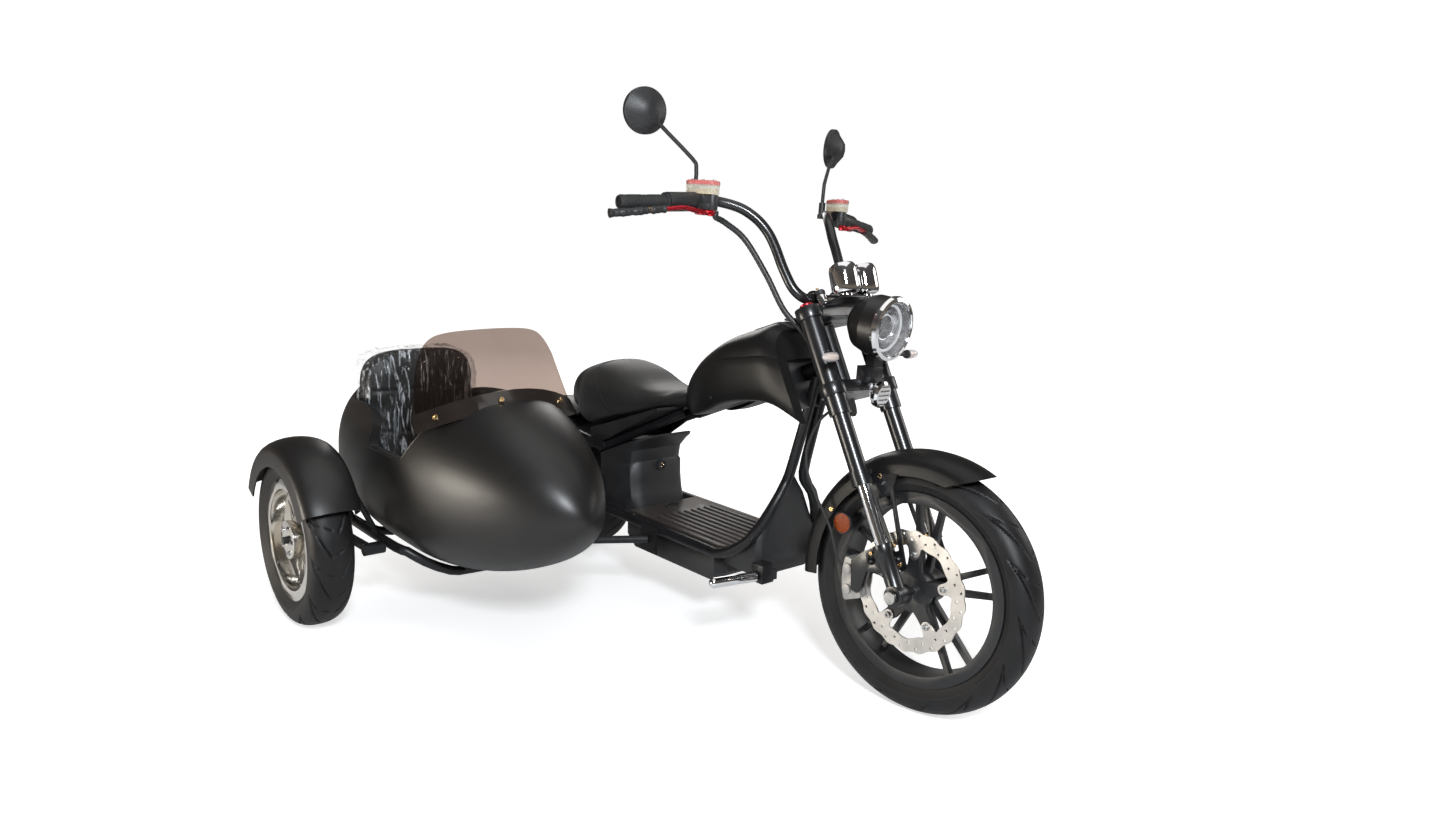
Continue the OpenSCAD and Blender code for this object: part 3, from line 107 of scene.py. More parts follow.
def loft(rings, caps=True, wrap=True):
    n, m = len(rings[0]), len(rings)
    points = [tuple(p) for ring in rings for p in ring]
    faces = [(i * n + j, i * n + (j + 1) % n, (i + 1) * n + (j + 1) % n, (i + 1) * n + j)
             for i in range(m - 1) for j in range(n if wrap else n - 1)]
    if caps:
        faces += [tuple(range(n))[::-1], tuple(range((m - 1) * n, m * n))]
    return points, faces


def circle(r, count, middle=(0, 0)):
    turns = [2 * math.pi * k / count for k in range(count)]
    return [(middle[0] + r * math.cos(a), middle[1] + r * math.sin(a)) for a in turns]


def tube(points, radius, sides=16):
    pts = [Vector(p) for p in points]
    rings, normal = [], None
    for i, p in enumerate(pts):
        ahead = (pts[min(i + 1, len(pts) - 1)] - pts[max(i - 1, 0)]).normalized()
        if normal is None:
            normal = Vector((0, 0, 1)) if abs(ahead.z) < 0.8 else Vector((1, 0, 0))
        normal = (normal - normal.dot(ahead) * ahead).normalized()
        side = ahead.cross(normal)
        r = radius[i] if isinstance(radius, (list, tuple)) else radius
        ru, rv = (float(q) for q in (r if isinstance(r, (list, tuple)) else (r, r)))
        rings.append([p + ru * c * side + rv * h * normal for c, h in circle(1, sides)])
    return loft(rings)


def lathe(profile, segments=48, loop=False):
    m = len(profile)
    points = [(r * c, r * h, z) for c, h in circle(1, segments) for r, z in profile]
    faces = [(a * m + j, ((a + 1) % segments) * m + j, ((a + 1) % segments) * m + (j + 1) % m, a * m + (j + 1) % m)
             for a in range(segments) for j in range(m if loop else m - 1)]
    return points, faces


def prism(outline, low, high, bevel=0):
    middle = np.mean(np.array(outline, float), axis=0)
    inner = [tuple(middle + (np.array(p) - middle) * (1 - bevel / max(np.linalg.norm(np.array(p) - middle), 1)))
             for p in outline]
    rows = [(inner, low), (outline, low + bevel), (outline, high - bevel), (inner, high)] if bevel else [
        (outline, low), (outline, high)]
    return loft([[(x, y, z) for x, y in ring] for ring, z in rows])


def pill(length, width, steps=10):  # outline of a bar with round ends
    r, half = width / 2, (length - width) / 2
    right = [(half + r * math.cos(a), r * math.sin(a)) for a in np.linspace(-math.pi / 2, math.pi / 2, steps)]
    return right + [(-x, -y) for x, y in right]


def block(size, middle, bevel=1.0):
    bm = bmesh.new()
    bmesh.ops.create_cube(bm, size=1)
    bmesh.ops.transform(bm, matrix=moved(*middle) @ Matrix.Diagonal((*size, 1)), verts=bm.verts)
    bmesh.ops.bevel(bm, geom=bm.edges[:], offset=bevel, segments=2, profile=0.5, affect="EDGES")
    bm.verts.index_update()
    shell = [tuple(v.co) for v in bm.verts], [tuple(v.index for v in f.verts) for f in bm.faces]
    bm.free()
    return shell


def joined(shells):
    points, faces = [], []
    for (shellPoints, shellFaces), place in shells:
        start = len(points)
        points += [tuple(place @ Vector(p)) for p in shellPoints]
        faces += [tuple(start + i for i in f) for f in shellFaces]
    return points, faces


def newMesh(name, shells):
    mesh = bpy.data.meshes.new(name)
    points, faces = joined(shells)
    mesh.from_pydata(points, [], faces)
    return mesh


def cleaned(mesh, outward=True):
    bm = bmesh.new()
    bm.from_mesh(mesh)
    bmesh.ops.remove_doubles(bm, verts=bm.verts, dist=2e-5)
    if outward:
        bmesh.ops.recalc_face_normals(bm, faces=bm.faces)
    bm.to_mesh(mesh)
    bm.free()
    return mesh


def addPiece(name, mesh, finish, body, slot, stands=(), smooth=35, outward=True):
    cleaned(mesh, outward)
    mesh.materials.clear()
    mesh.materials.append(finishes[finish])
    mesh.shade_smooth()
    mesh.set_sharp_from_angle(angle=math.radians(smooth))
    piece = bpy.data.objects.new(name, mesh)
    scene.collection.objects.link(piece)
    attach(piece, body)
    if stands:
        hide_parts(*stands)
    return piece


def makePiece(name, shells, finish, body, slot, stands=(), smooth=35):
    return addPiece(name, newMesh(name, shells), finish, body, slot, stands, smooth)


def makePieces(body, rows):  # rows: name, shells, finish, slot, then replaced nodes and smoothing
    for name, shells, finish, slot, *rest in rows:
        makePiece(name, shells, finish, body, slot, *rest)


def lathed(profile, segments, places, loop=False):
    return [(lathe(profile, segments, loop), place) for place in places]


def settled(obj):  # mesh of an object with its modifiers applied
    scene.view_layers[0].update()
    mesh = bpy.data.meshes.new_from_object(obj.evaluated_get(bpy.context.evaluated_depsgraph_get()))
    old = obj.data
    bpy.data.objects.remove(obj)
    if old.users == 0:
        bpy.data.meshes.remove(old)
    return mesh


def scratch(mesh):
    obj = bpy.data.objects.new(mesh.name, mesh)
    scene.collection.objects.link(obj)
    return obj


def cutAway(mesh, *cutters):  # solid difference
    obj = scratch(mesh)
    tools = []
    for cutter in cutters:
        tool = scratch(cleaned(cutter))
        cut = obj.modifiers.new("cut", "BOOLEAN")
        cut.operation, cut.solver, cut.object = "DIFFERENCE", "EXACT", tool
        tools.append(tool)
    result = settled(obj)
    for tool in tools:
        bpy.data.objects.remove(tool)
    return result


# finishes
finishes = {}


def startFinish(name):
    material = bpy.data.materials.new(name)
    material.use_nodes = True
    tree = material.node_tree
    shader = tree.nodes["Principled BSDF"]
    coords = tree.nodes.new("ShaderNodeTexCoord")
    finishes[name] = material
    return material, tree, shader, coords.outputs["Object"]


def addNode(tree, kind, inputs=None, **settings):
    node = tree.nodes.new(kind)
    for key, value in settings.items():
        setattr(node, key, value)
    for key, value in (inputs or {}).items():
        if isinstance(value, bpy.types.NodeSocket):
            tree.links.new(value, node.inputs[key])
        else:
            node.inputs[key].default_value = value
    return node


def setSockets(shader, values):
    for socket, value in values.items():
        shader.inputs[socket].default_value = value


def mottle(tree, coords, colour, vary, scale):
    cloud = addNode(tree, "ShaderNodeTexNoise", {"Vector": coords, "Scale": scale, "Detail": 4})
    ramp = addNode(tree, "ShaderNodeValToRGB", {"Fac": cloud.outputs["Fac"]})
    ramp.color_ramp.elements[0].position, ramp.color_ramp.elements[1].position = 0.3, 0.7
    ramp.color_ramp.elements[0].color = (*[c * (1 - vary) for c in colour], 1)
    ramp.color_ramp.elements[1].color = (*[min(1, c * (1 + vary)) for c in colour], 1)
    return cloud, ramp


def addFinish(name, colour, rough, metal=0.0, vary=0.15, varyScale=9, roughVary=0.06, grain=0.0, grainScale=900,
              coat=0.0, coatRough=0.1, specular=0.5, sheen=0.0, clear=0.0, ior=1.5, glow=0.0, pattern="noise",
              alpha=1.0):
    material, tree, shader, coords = startFinish(name)
    cloud, ramp = mottle(tree, coords, colour, vary, varyScale)
    tree.links.new(ramp.outputs["Color"], shader.inputs["Base Color"])
    spread = addNode(tree, "ShaderNodeMapRange", {"Value": cloud.outputs["Fac"], "To Min": rough - roughVary,
                                                  "To Max": rough + roughVary})
    tree.links.new(spread.outputs["Result"], shader.inputs["Roughness"])
    if grain:
        if pattern == "leather":
            fine = addNode(tree, "ShaderNodeTexVoronoi", {"Vector": coords, "Scale": grainScale},
                           feature="SMOOTH_F1").outputs["Distance"]
        elif pattern == "lathe":
            fine = addNode(tree, "ShaderNodeTexWave", {"Vector": coords, "Scale": grainScale, "Distortion": 2.0},
                           wave_type="RINGS", rings_direction="SPHERICAL").outputs["Fac"]
        else:
            fine = addNode(tree, "ShaderNodeTexNoise", {"Vector": coords, "Scale": grainScale,
                                                        "Detail": 2.0}).outputs["Fac"]
        bump = addNode(tree, "ShaderNodeBump", {"Height": fine, "Strength": grain, "Distance": 0.0008})
        tree.links.new(bump.outputs["Normal"], shader.inputs["Normal"])
    setSockets(shader, {"Metallic": metal, "Specular IOR Level": specular, "Coat Weight": coat,
                        "Coat Roughness": coatRough, "Sheen Weight": sheen, "Transmission Weight": clear,
                        "IOR": ior, "Emission Strength": glow, "Alpha": alpha})
    if glow:
        shader.inputs["Emission Color"].default_value = (*colour, 1)
    return material


addFinish("tyreRubber", (0.0105, 0.0100, 0.0105), 0.50, vary=0.35, varyScale=14, roughVary=0.12, grain=0.25,
          grainScale=700, specular=0.33)
addFinish("castBlack", (0.016, 0.016, 0.017), 0.40, vary=0.2, grain=0.12, grainScale=1400)
addFinish("polishedAlloy", (0.84, 0.81, 0.76), 0.13, 1.0, vary=0.08, varyScale=30, roughVary=0.04)
addFinish("discSteel", (0.66, 0.63, 0.59), 0.30, 1.0, vary=0.12, varyScale=22, roughVary=0.1, grain=0.06,
          grainScale=420, pattern="lathe")
addFinish("greySteel", (0.42, 0.42, 0.42), 0.34, 1.0, vary=0.15, varyScale=60)
addFinish("castAlloy", (0.42, 0.41, 0.40), 0.48, 0.75, vary=0.14, varyScale=40, grain=0.3, grainScale=1100)
addFinish("forkBlack", (0.011, 0.011, 0.012), 0.30, vary=0.25, coat=0.2, coatRough=0.12, grain=0.03)
addFinish("chrome", (0.86, 0.86, 0.87), 0.06, 1.0, vary=0.05, varyScale=12, roughVary=0.03)
addFinish("bodyBlack", (0.0105, 0.0095, 0.0092), 0.39, vary=0.16, varyScale=5, roughVary=0.04, grain=0.1,
          grainScale=1600, specular=0.55)
addFinish("frameBlack", (0.010, 0.010, 0.011), 0.38, vary=0.25, varyScale=16, grain=0.14, grainScale=1500, specular=0.4)
addFinish("softRubber", (0.022, 0.022, 0.022), 0.72, vary=0.25, varyScale=40, grain=0.3, grainScale=1000)
addFinish("blackPlastic", (0.019, 0.019, 0.020), 0.45, vary=0.2, varyScale=18, grain=0.2, grainScale=1300)
addFinish("floorPlastic", (0.055, 0.046, 0.041), 0.34, vary=0.25, varyScale=10, roughVary=0.09, grain=0.18,
          grainScale=1100)
addFinish("ribRubber", (0.085, 0.076, 0.070), 0.45, vary=0.2, varyScale=20, grain=0.15, grainScale=900)
addFinish("redAnodised", (0.50, 0.022, 0.035), 0.28, 0.75, vary=0.12, varyScale=60)
addFinish("redCap", (0.55, 0.15, 0.14), 0.3, vary=0.12, varyScale=60, coat=0.4)
addFinish("amberFluid", (0.85, 0.55, 0.12), 0.08, vary=0.1, varyScale=30, roughVary=0.02, clear=0.6, ior=1.4)
addFinish("mirrorGlass", (0.88, 0.90, 0.92), 0.03, 1.0, vary=0.03, roughVary=0.01)
addFinish("clearLens", (0.93, 0.94, 0.95), 0.03, vary=0.02, roughVary=0.01, clear=1.0, ior=1.02, coat=1.0,
          coatRough=0.03)
addFinish("redLens", (0.55, 0.012, 0.012), 0.1, vary=0.1, roughVary=0.03, clear=0.35, coat=0.5)
addFinish("blackLeather", (0.021, 0.020, 0.019), 0.50, vary=0.2, varyScale=12, roughVary=0.07, grain=0.35,
          grainScale=420, sheen=0.05, pattern="leather")
material, tree, shader, coords = startFinish("smokedScreen")
cloud, ramp = mottle(tree, coords, (0.62, 0.545, 0.505), 0.02, 4)
passed = addNode(tree, "ShaderNodeBsdfTransparent", {"Color": ramp.outputs["Color"]})
blended = addNode(tree, "ShaderNodeMixShader", {0: 0.1, 1: passed.outputs[0], 2: shader.outputs[0]})
tree.links.new(blended.outputs[0], tree.nodes["Material Output"].inputs["Surface"])
setSockets(shader, {"Base Color": (0.05, 0.04, 0.035, 1), "Roughness": 0.05, "Coat Weight": 1.0,
                    "Coat Roughness": 0.03})
# painted shade: a shaded copy of bodyBlack, the same paint with weaker specular, so the tank and front fender catch
# less highlight than the tub
addFinish("tankBlack", (0.0105, 0.010, 0.010), 0.35, vary=0.16, varyScale=5, roughVary=0.04, grain=0.1, grainScale=1600,
          specular=0.22)
addFinish("bandBlack", (0.018, 0.013, 0.011), 0.16, vary=0.2, varyScale=12, coat=0.6, coatRough=0.06)
addFinish("braidSleeve", (0.022, 0.022, 0.023), 0.42, vary=0.7, varyScale=260, specular=0.45)
addFinish("potPlastic", (0.78, 0.74, 0.62), 0.12, vary=0.05, roughVary=0.04, coat=0.6, alpha=0.4)
# clear film: the crinkles are a bump, and the white streaks along them are painted highlights, set in the base colour
# and made more opaque in the alpha
material, tree, shader, coords = startFinish("clearFilm")
drawn = addNode(tree, "ShaderNodeMapping", {"Vector": coords, "Rotation": (0.22, 0, 0), "Scale": (34, 58, 8)})
folds = addNode(tree, "ShaderNodeTexNoise", {"Vector": drawn.outputs[0], "Scale": 1.0, "Detail": 6.0,
                                             "Distortion": 1.6})
paintedGlintMask = addNode(tree, "ShaderNodeMapRange", {"Value": folds.outputs["Fac"], "From Min": 0.515, "From Max": 0.63})
# tint runs from the dark film colour to the white of the painted highlight
tint = addNode(tree, "ShaderNodeValToRGB", {"Fac": paintedGlintMask.outputs["Result"]})
for element, shade in zip(tint.color_ramp.elements, ((0.035, 0.036, 0.038, 1), (0.72, 0.76, 0.80, 1))):
    element.color = shade
paintedGlintAlpha = addNode(tree, "ShaderNodeMapRange", {"Value": paintedGlintMask.outputs["Result"], "To Min": 0.16, "To Max": 0.58})
crimp = addNode(tree, "ShaderNodeBump", {"Height": folds.outputs["Fac"], "Strength": 0.7, "Distance": 0.004})
for socket, output in (("Base Color", tint.outputs["Color"]), ("Alpha", paintedGlintAlpha.outputs["Result"]),
                       ("Normal", crimp.outputs["Normal"])):
    tree.links.new(output, shader.inputs[socket])
setSockets(shader, {"Roughness": 0.14, "Coat Weight": 1.0, "Coat Roughness": 0.05})
addFinish("lensSkin", (0.72, 0.66, 0.64), 0.06, vary=0.06, varyScale=60, roughVary=0.02, alpha=0.5, coat=1.0,
          coatRough=0.03)
addFinish("darkBowl", (0.30, 0.30, 0.31), 0.16, 1.0, vary=0.1, varyScale=40)
addFinish("paleAmber", (0.85, 0.62, 0.48), 0.25, vary=0.15, varyScale=120, coat=1.0, coatRough=0.04)
addFinish("goldZinc", (0.80, 0.56, 0.29), 0.26, 1.0, vary=0.18, varyScale=90)
addFinish("amberReflector", (0.21, 0.033, 0.002), 0.34, vary=0.3, varyScale=160, grain=0.25, grainScale=520,
          specular=0.2, pattern="leather")
addFinish("dialFace", (0.012, 0.012, 0.014), 0.5, vary=0.1)
addFinish("lampHalo", (0.62, 0.63, 0.65), 0.3, vary=0.03, glow=0.12)

slotFinish = {"tyre": "tyreRubber", "black_wheel": "castBlack", "polished_alloy": "polishedAlloy",
              "brake_steel": "discSteel", "grey_steel": "greySteel", "cast_alloy": "castAlloy",
              "fork_black": "forkBlack", "chrome": "chrome", "body_black": "bodyBlack", "frame_black": "frameBlack",
              "rubber": "softRubber", "black_plastic": "blackPlastic", "floor_plastic": "floorPlastic",
              "red_anodised": "redAnodised", "amber_fluid": "amberFluid", "mirror": "mirrorGlass",
              "clear_lens": "clearLens", "red_lens": "redLens", "black_leather": "blackLeather",
              "smoked_screen": "smokedScreen"}
slotOf = {name: obj.data.materials[0].name.split(".")[0] for name, obj in nodes.items()}
bodyOf = {name: obj["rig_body"] for name, obj in nodes.items()}
for name, obj in nodes.items():
    obj.data.materials[0] = finishes[slotFinish[slotOf[name]]]
print("finishes ready,", len(finishes))

# camera at the photograph's place
camera = {"place": (2.16335, -1.60416, 1.14068), "yaw": 138.99, "pitch": 10.61, "roll": 1.94,
          "focal": 1029.46, "width": 1445}
yaw, pitch, roll = (math.radians(camera[k]) for k in ("yaw", "pitch", "roll"))
ahead = Vector((math.cos(pitch) * math.cos(yaw), math.cos(pitch) * math.sin(yaw), -math.sin(pitch)))
across = ahead.cross(Vector((0, 0, 1))).normalized()
above = across.cross(ahead)
right = math.cos(roll) * across + math.sin(roll) * above
top = -math.sin(roll) * across + math.cos(roll) * above
viewer = bpy.data.objects.new("viewer", bpy.data.cameras.new("viewer"))
viewer.data.sensor_width = 36
viewer.data.lens = 36 * camera["focal"] / camera["width"]
viewer.matrix_world = Matrix.Translation(camera["place"]) @ Matrix((right, top, -ahead)).transposed().to_4x4()
scene.collection.objects.link(viewer)
scene.camera = viewer

# studio
studio = {"floor": 60, "room": ((0.0, (0.19, 0.16, 0.13)), (0.35, (0.055, 0.05, 0.046)), (1.0, (0.11, 0.11, 0.115))),
          "lamps": (
              ("sideWindow", (-1.16, -2.80, 0.33), (-0.15, -0.5, 0.40), (1.2, 0.5), 34, (1.0, 0.92, 0.80)),
              ("frontSoft", (3.1, -1.75, 2.5), (0.1, -0.35, 0.45), (0.6, 0.6), 150, (0.90, 0.95, 1.0)),
              ("overhead", (0.3, 0.2, 4.2), (0.0, 0.0, 0.3), (4.0, 4.0), 48, (1.0, 0.98, 0.95)),
              ("leftFill", (1.8, 4.2, 2.0), (0.2, 0.2, 0.6), (2.0, 1.6), 34, (1.0, 0.98, 0.96)),
              ("rearFill", (-3.8, 2.6, 2.4), (-0.3, 0.0, 0.5), (2.2, 1.8), 42, (1.0, 0.98, 0.96)))}
for lampName, place, target, size, power, tint in studio["lamps"]:
    light = bpy.data.lights.new(lampName, "AREA")
    light.shape, light.size, light.size_y = "RECTANGLE", *size
    light.energy, light.color = power, tint
    lamp = bpy.data.objects.new(lampName, light)
    lamp.location = place
    lamp.visible_camera = False
    lamp.rotation_euler = (Vector(target) - Vector(place)).to_track_quat("-Z", "Y").to_euler()
    scene.collection.objects.link(lamp)


def seenRays(tree):  # 1 where the camera looks, also through a clear piece
    path = addNode(tree, "ShaderNodeLightPath")
    either = addNode(tree, "ShaderNodeMath", {0: path.outputs["Is Camera Ray"],
                                              1: path.outputs["Is Transmission Ray"]}, operation="MAXIMUM")
    return either.outputs[0]


world = bpy.data.worlds.new("studio")
scene.world = world
world.use_nodes = True
sky = world.node_tree
sky.nodes.clear()
height = addNode(sky, "ShaderNodeSeparateXYZ", {0: addNode(sky, "ShaderNodeTexCoord").outputs["Object"]})
room = addNode(sky, "ShaderNodeValToRGB", {"Fac": height.outputs["Z"]})
room.color_ramp.elements.new(0.35)
for element, (place, colour) in zip(room.color_ramp.elements, studio["room"]):
    element.position, element.color = place, (*colour, 1)
roomGlow = addNode(sky, "ShaderNodeBackground", {"Color": room.outputs["Color"]})
white = addNode(sky, "ShaderNodeBackground", {"Color": (1, 1, 1, 1)})
either = addNode(sky, "ShaderNodeMixShader", {0: seenRays(sky), 1: roomGlow.outputs[0], 2: white.outputs[0]})
out = addNode(sky, "ShaderNodeOutputWorld")
sky.links.new(either.outputs[0], out.inputs[0])
material, tree, shader, coords = startFinish("paleFloor")
cloud, ramp = mottle(tree, coords, (0.80, 0.80, 0.80), 0.01, 1.5)
tree.links.new(ramp.outputs["Color"], shader.inputs["Base Color"])
setSockets(shader, {"Roughness": 0.8, "Specular IOR Level": 0.1, "Emission Color": (1, 1, 1, 1)})
reach = addNode(tree, "ShaderNodeVectorMath", {0: coords}, operation="LENGTH")
fade = addNode(tree, "ShaderNodeMapRange", {"Value": reach.outputs["Value"], "From Min": 0.3, "From Max": 2.4,
                                            "To Min": 0.55, "To Max": 1.0}, interpolation_type="SMOOTHSTEP")
bright = addNode(tree, "ShaderNodeMath", {0: fade.outputs["Result"], 1: seenRays(tree)}, operation="MULTIPLY")
tree.links.new(bright.outputs[0], shader.inputs["Emission Strength"])
half = studio["floor"] / 2
floorMesh = bpy.data.meshes.new("studioFloor")
floorMesh.from_pydata([(-half, -half, 0), (half, -half, 0), (half, half, 0), (-half, half, 0)], [], [(0, 1, 2, 3)])
floorMesh.materials.append(material)
studioFloor = bpy.data.objects.new("studioFloor", floorMesh)
scene.collection.objects.link(studioFloor)
scene.view_settings.view_transform = "Standard"
print("camera and studio ready")

# solids whose facets or edges need softening: bevel in millimetres, angle of smooth shading
softened = {"bar_controls": (1.4, 35), "upper_clamp": (1.5, 35), "lower_clamp": (1.5, 35), "fork_lowers": (1.2, 35),
            "brake_caliper": (1.6, 35), "belly_box": (5, 35), "floorboard": (0.9, 35), "front_panel": (0, 38),
            "peg_brackets": (1.2, 35), "seat_pan": (2, 35), "seat_tower": (0, 33), "down_tubes": (0, 40),
            "sidecar_frame": (0, 40), "mirrors": (0, 55), "front_fender": (0, 40), "rear_fender": (0, 40),
            "sidecar_fender": (0, 40), "fender_stays": (0.7, 35), "floor_frame": (0.8, 35),
            "fender_struts": (1, 35), "screen_band": (0, 40), "swingarm": (1.5, 35), "front_rim": (1.2, 35),
            "rear_rim": (1.5, 35), "sidecar_rim": (1.0, 35), "footpegs": (0, 35)}
for name, (bevel, smooth) in softened.items():
    mesh = nodes[name].data.copy()
    mesh.name = name + "Soft"
    if mesh.has_custom_normals:
        mesh.normals_split_custom_set_from_vertices([(0, 0, 0)] * len(mesh.vertices))
        mesh.attributes.remove(mesh.attributes["custom_normal"])
    bm = bmesh.new()
    bm.from_mesh(mesh)
    bmesh.ops.remove_doubles(bm, verts=bm.verts, dist=2e-5)
    if bevel:
        bmesh.ops.dissolve_limit(bm, angle_limit=math.radians(0.6), verts=bm.verts, edges=bm.edges)
    bm.to_mesh(mesh)
    bm.free()
    if bevel:
        obj = scratch(mesh)
        edge = obj.modifiers.new("edge", "BEVEL")
        edge.width, edge.segments, edge.limit_method = bevel / 1000, 2, "ANGLE"
        edge.angle_limit = math.radians(smooth)
        mesh = settled(obj)
    # the front fender takes the shaded copy of the body paint, a painted shade
    finish = {"screen_band": "bandBlack", "front_fender": "tankBlack"}.get(name, slotFinish[slotOf[name]])
    addPiece(name + "Soft", mesh, finish, bodyOf[name], slotOf[name], (name,), smooth, False)
print("edges softened on", len(softened), "solids")

# tyres with carved grooves
tyreSizes = {
    "frontTyre": dict(node="front_tyre", place=frontWheel, radius=296, width=100, bead=214, beadWidth=70, crown=2.1,
                      turns=720, pitches=14, slant=34, depth=4.0, grooveHalf=2.4, step=2.6, reach=0.86),
    "rearTyre": dict(node="rear_tyre", place=rearWheel, radius=238, width=214, bead=155, beadWidth=170, crown=3.4,
                     turns=480, pitches=12, slant=34, depth=4.5, grooveHalf=2.8, step=3.4, reach=0.80),
    "sidecarTyre": dict(node="sidecar_tyre", place=sideWheel, radius=238, width=118, bead=151, beadWidth=84, crown=2.5,
                        turns=540, pitches=12, slant=34, depth=4.0, grooveHalf=2.4, step=2.8, reach=0.82)}


def tyreMesh(s):
    midR = s["bead"] + 0.42 * (s["radius"] - s["bead"])
    a = np.radians(np.linspace(-90, 90, 721))
    power = 2 / s["crown"]
    r = midR + (s["radius"] - midR) * np.abs(np.cos(a)) ** power
    z = s["width"] / 2 * np.sign(np.sin(a)) * np.abs(np.sin(a)) ** power
    length = np.concatenate([[0], np.cumsum(np.hypot(np.diff(r), np.diff(z)))])
    length -= length[-1] / 2
    v = np.linspace(length[0], length[-1], int((length[-1] - length[0]) / s["step"]))
    r, z = np.interp(v, length, r), np.interp(v, length, z)
    slopeR, slopeZ = np.gradient(r, v), np.gradient(z, v)
    theta = np.arange(s["turns"]) * 2 * np.pi / s["turns"]
    u = np.abs(v) / (length[-1] * s["reach"])
    depth = np.zeros((len(theta), len(v)))
    pitch = 2 * np.pi / s["pitches"]
    for start, end, lean, shift, wide in ((0.10, 0.95, 1.0, 0.0, 1.0), (0.48, 1.0, 0.55, 0.5, 0.8),
                                          (0.02, 0.36, 0.45, 0.62, 0.75)):
        side = np.where(v > 0, 0.0, 0.5)
        middle = np.radians(s["slant"]) * lean * u ** 1.35 + (shift + side) * pitch
        off = (theta[:, None] - middle[None, :] + pitch / 2) % pitch - pitch / 2
        steep = np.radians(s["slant"]) * lean * 1.35 * np.maximum(u, 0.05) ** 0.35 / (length[-1] * s["reach"])
        dist = np.abs(off) * s["radius"] / np.sqrt(1 + (steep * s["radius"]) ** 2)[None, :]
        fade = np.clip((u - start) / 0.08, 0, 1) * np.clip((end - u) / 0.12, 0, 1)
        groove = np.clip(1.9 * (1 - dist / (s["grooveHalf"] * wide)), 0, 1) * fade[None, :]
        depth = np.maximum(depth, s["depth"] * groove)
    ridge = 0.9 * (np.clip(1 - np.abs(u - 1.12) / 0.025, 0, 1) + np.clip(1 - np.abs(u - 1.19) / 0.02, 0, 1))
    rr = r[None, :] + (ridge - depth) * slopeZ[None, :]
    zz = z[None, :] - (ridge - depth) * slopeR[None, :]
    rows = []
    half = [(s["bead"] + up, s["beadWidth"] / 2 - off) for up, off in ((16, 0), (5, 0), (0, 4))]
    lip = half + [(q, -h) for q, h in half[::-1]]
    for i, t in enumerate(theta):
        ring = list(zip(rr[i], zz[i])) + lip
        rows.append([(q * math.cos(t), q * math.sin(t), h) for q, h in ring])
    return loft(rows + [rows[0]], caps=False)


for name, s in tyreSizes.items():
    makePiece(name, [(tyreMesh(s), s["place"])], "tyreRubber", bodyOf[s["node"]], "tyre", (s["node"],), 50)
print("tyres carved")

# front brake disc with petals and drilled holes, and the wheel's arms under its ears
discSizes = {"r": 145, "petals": 20, "wave": 4, "inner": 110, "innerWave": 3, "earR": 13, "boltR": 88, "holes": 40,
             "holeR": 3.3, "holeRows": (-6, 7), "z": 52, "thick": 4, "first": 18,
             "arm": ((34, 21), (60, 17), (84, 15), (98, 10), (101, 0)), "armZ": (36, 51.9)}


def discShell():
    s = discSizes
    around = np.radians(np.arange(0, 360, 1.0))
    petal = s["r"] - s["wave"] * (0.5 - 0.5 * np.cos(s["petals"] * around))
    outer = list(np.column_stack((petal * np.cos(around), petal * np.sin(around))))
    inner = []
    for a in around:
        off = (math.degrees(a) - s["first"] + 36) % 72 - 36  # angle from the nearest ear
        r = s["inner"] + s["innerWave"] * math.cos(s["petals"] / 2 * (a - math.radians(s["first"])))
        side = s["boltR"] * math.sin(math.radians(off))
        if abs(side) < s["earR"]:
            r = min(r, s["boltR"] * math.cos(math.radians(off)) - math.sqrt(s["earR"] ** 2 - side ** 2))
        elif abs(off) < 11.5:
            r -= 9 * (1 - (abs(off) - 8.5) / 3)
        inner.append(r * np.array((math.cos(a), math.sin(a))))
    holes = []
    for k in range(s["holes"]):
        a = 2 * math.pi * (k + 0.5) / s["holes"]
        r = (s["r"] + s["inner"]) / 2 + s["holeRows"][k % 2]
        holes.append((r * math.cos(a), r * math.sin(a)))
    loops = [outer, inner] + [circle(s["holeR"], 10, hole) for hole in holes]
    points, edges = [], []
    for ring in loops:
        start = len(points)
        edges += [(start + k, start + (k + 1) % len(ring)) for k in range(len(ring))]
        points += [Vector((float(x), float(y))) for x, y in ring]
    flat, _, faces, *_ = geometry.delaunay_2d_cdt(points, edges, [], 0, 1e-5)
    n = len(flat)
    innerR, outerR = ([float(np.linalg.norm(q)) for q in ring + ring[:1]] for ring in (inner, outer))

    def solid(face):
        x, y = (sum(flat[v][i] for v in face) / 3 for i in (0, 1))
        a = math.degrees(math.atan2(y, x)) % 360
        return (np.interp(a, range(361), innerR) < math.hypot(x, y) < np.interp(a, range(361), outerR)
                and min(math.hypot(x - hx, y - hy) for hx, hy in holes) > s["holeR"])

    faces = [f for f in faces if solid(f)]
    rim = {(a, b): True for f in faces for a, b in zip(f, list(f[1:]) + [f[0]])}
    walls = [(b, a, n + a, n + b) for a, b in rim if (b, a) not in rim]
    low, high = s["z"], s["z"] + s["thick"]
    return ([(v.x, v.y, low) for v in flat] + [(v.x, v.y, high) for v in flat],
            [tuple(f)[::-1] for f in faces] + [tuple(n + v for v in f) for f in faces] + walls)


def armShell(turn):
    half = discSizes["arm"]
    outline = [(r, w) for r, w in half] + [(r, -w) for r, w in half[::-1][1:]]
    c, h = math.cos(math.radians(turn)), math.sin(math.radians(turn))
    return prism([(x * c - y * h, x * h + y * c) for x, y in outline], *discSizes["armZ"], 1.5)


makePieces("front_wheel", (
    ("petalDisc", [(discShell(), frontWheel)], "discSteel", "brake_steel", ("front_disc",), 30),
    ("discArms", [(armShell(discSizes["first"] + 72 * k), frontWheel) for k in range(5)], "castBlack", "black_wheel")))
print("disc drilled")

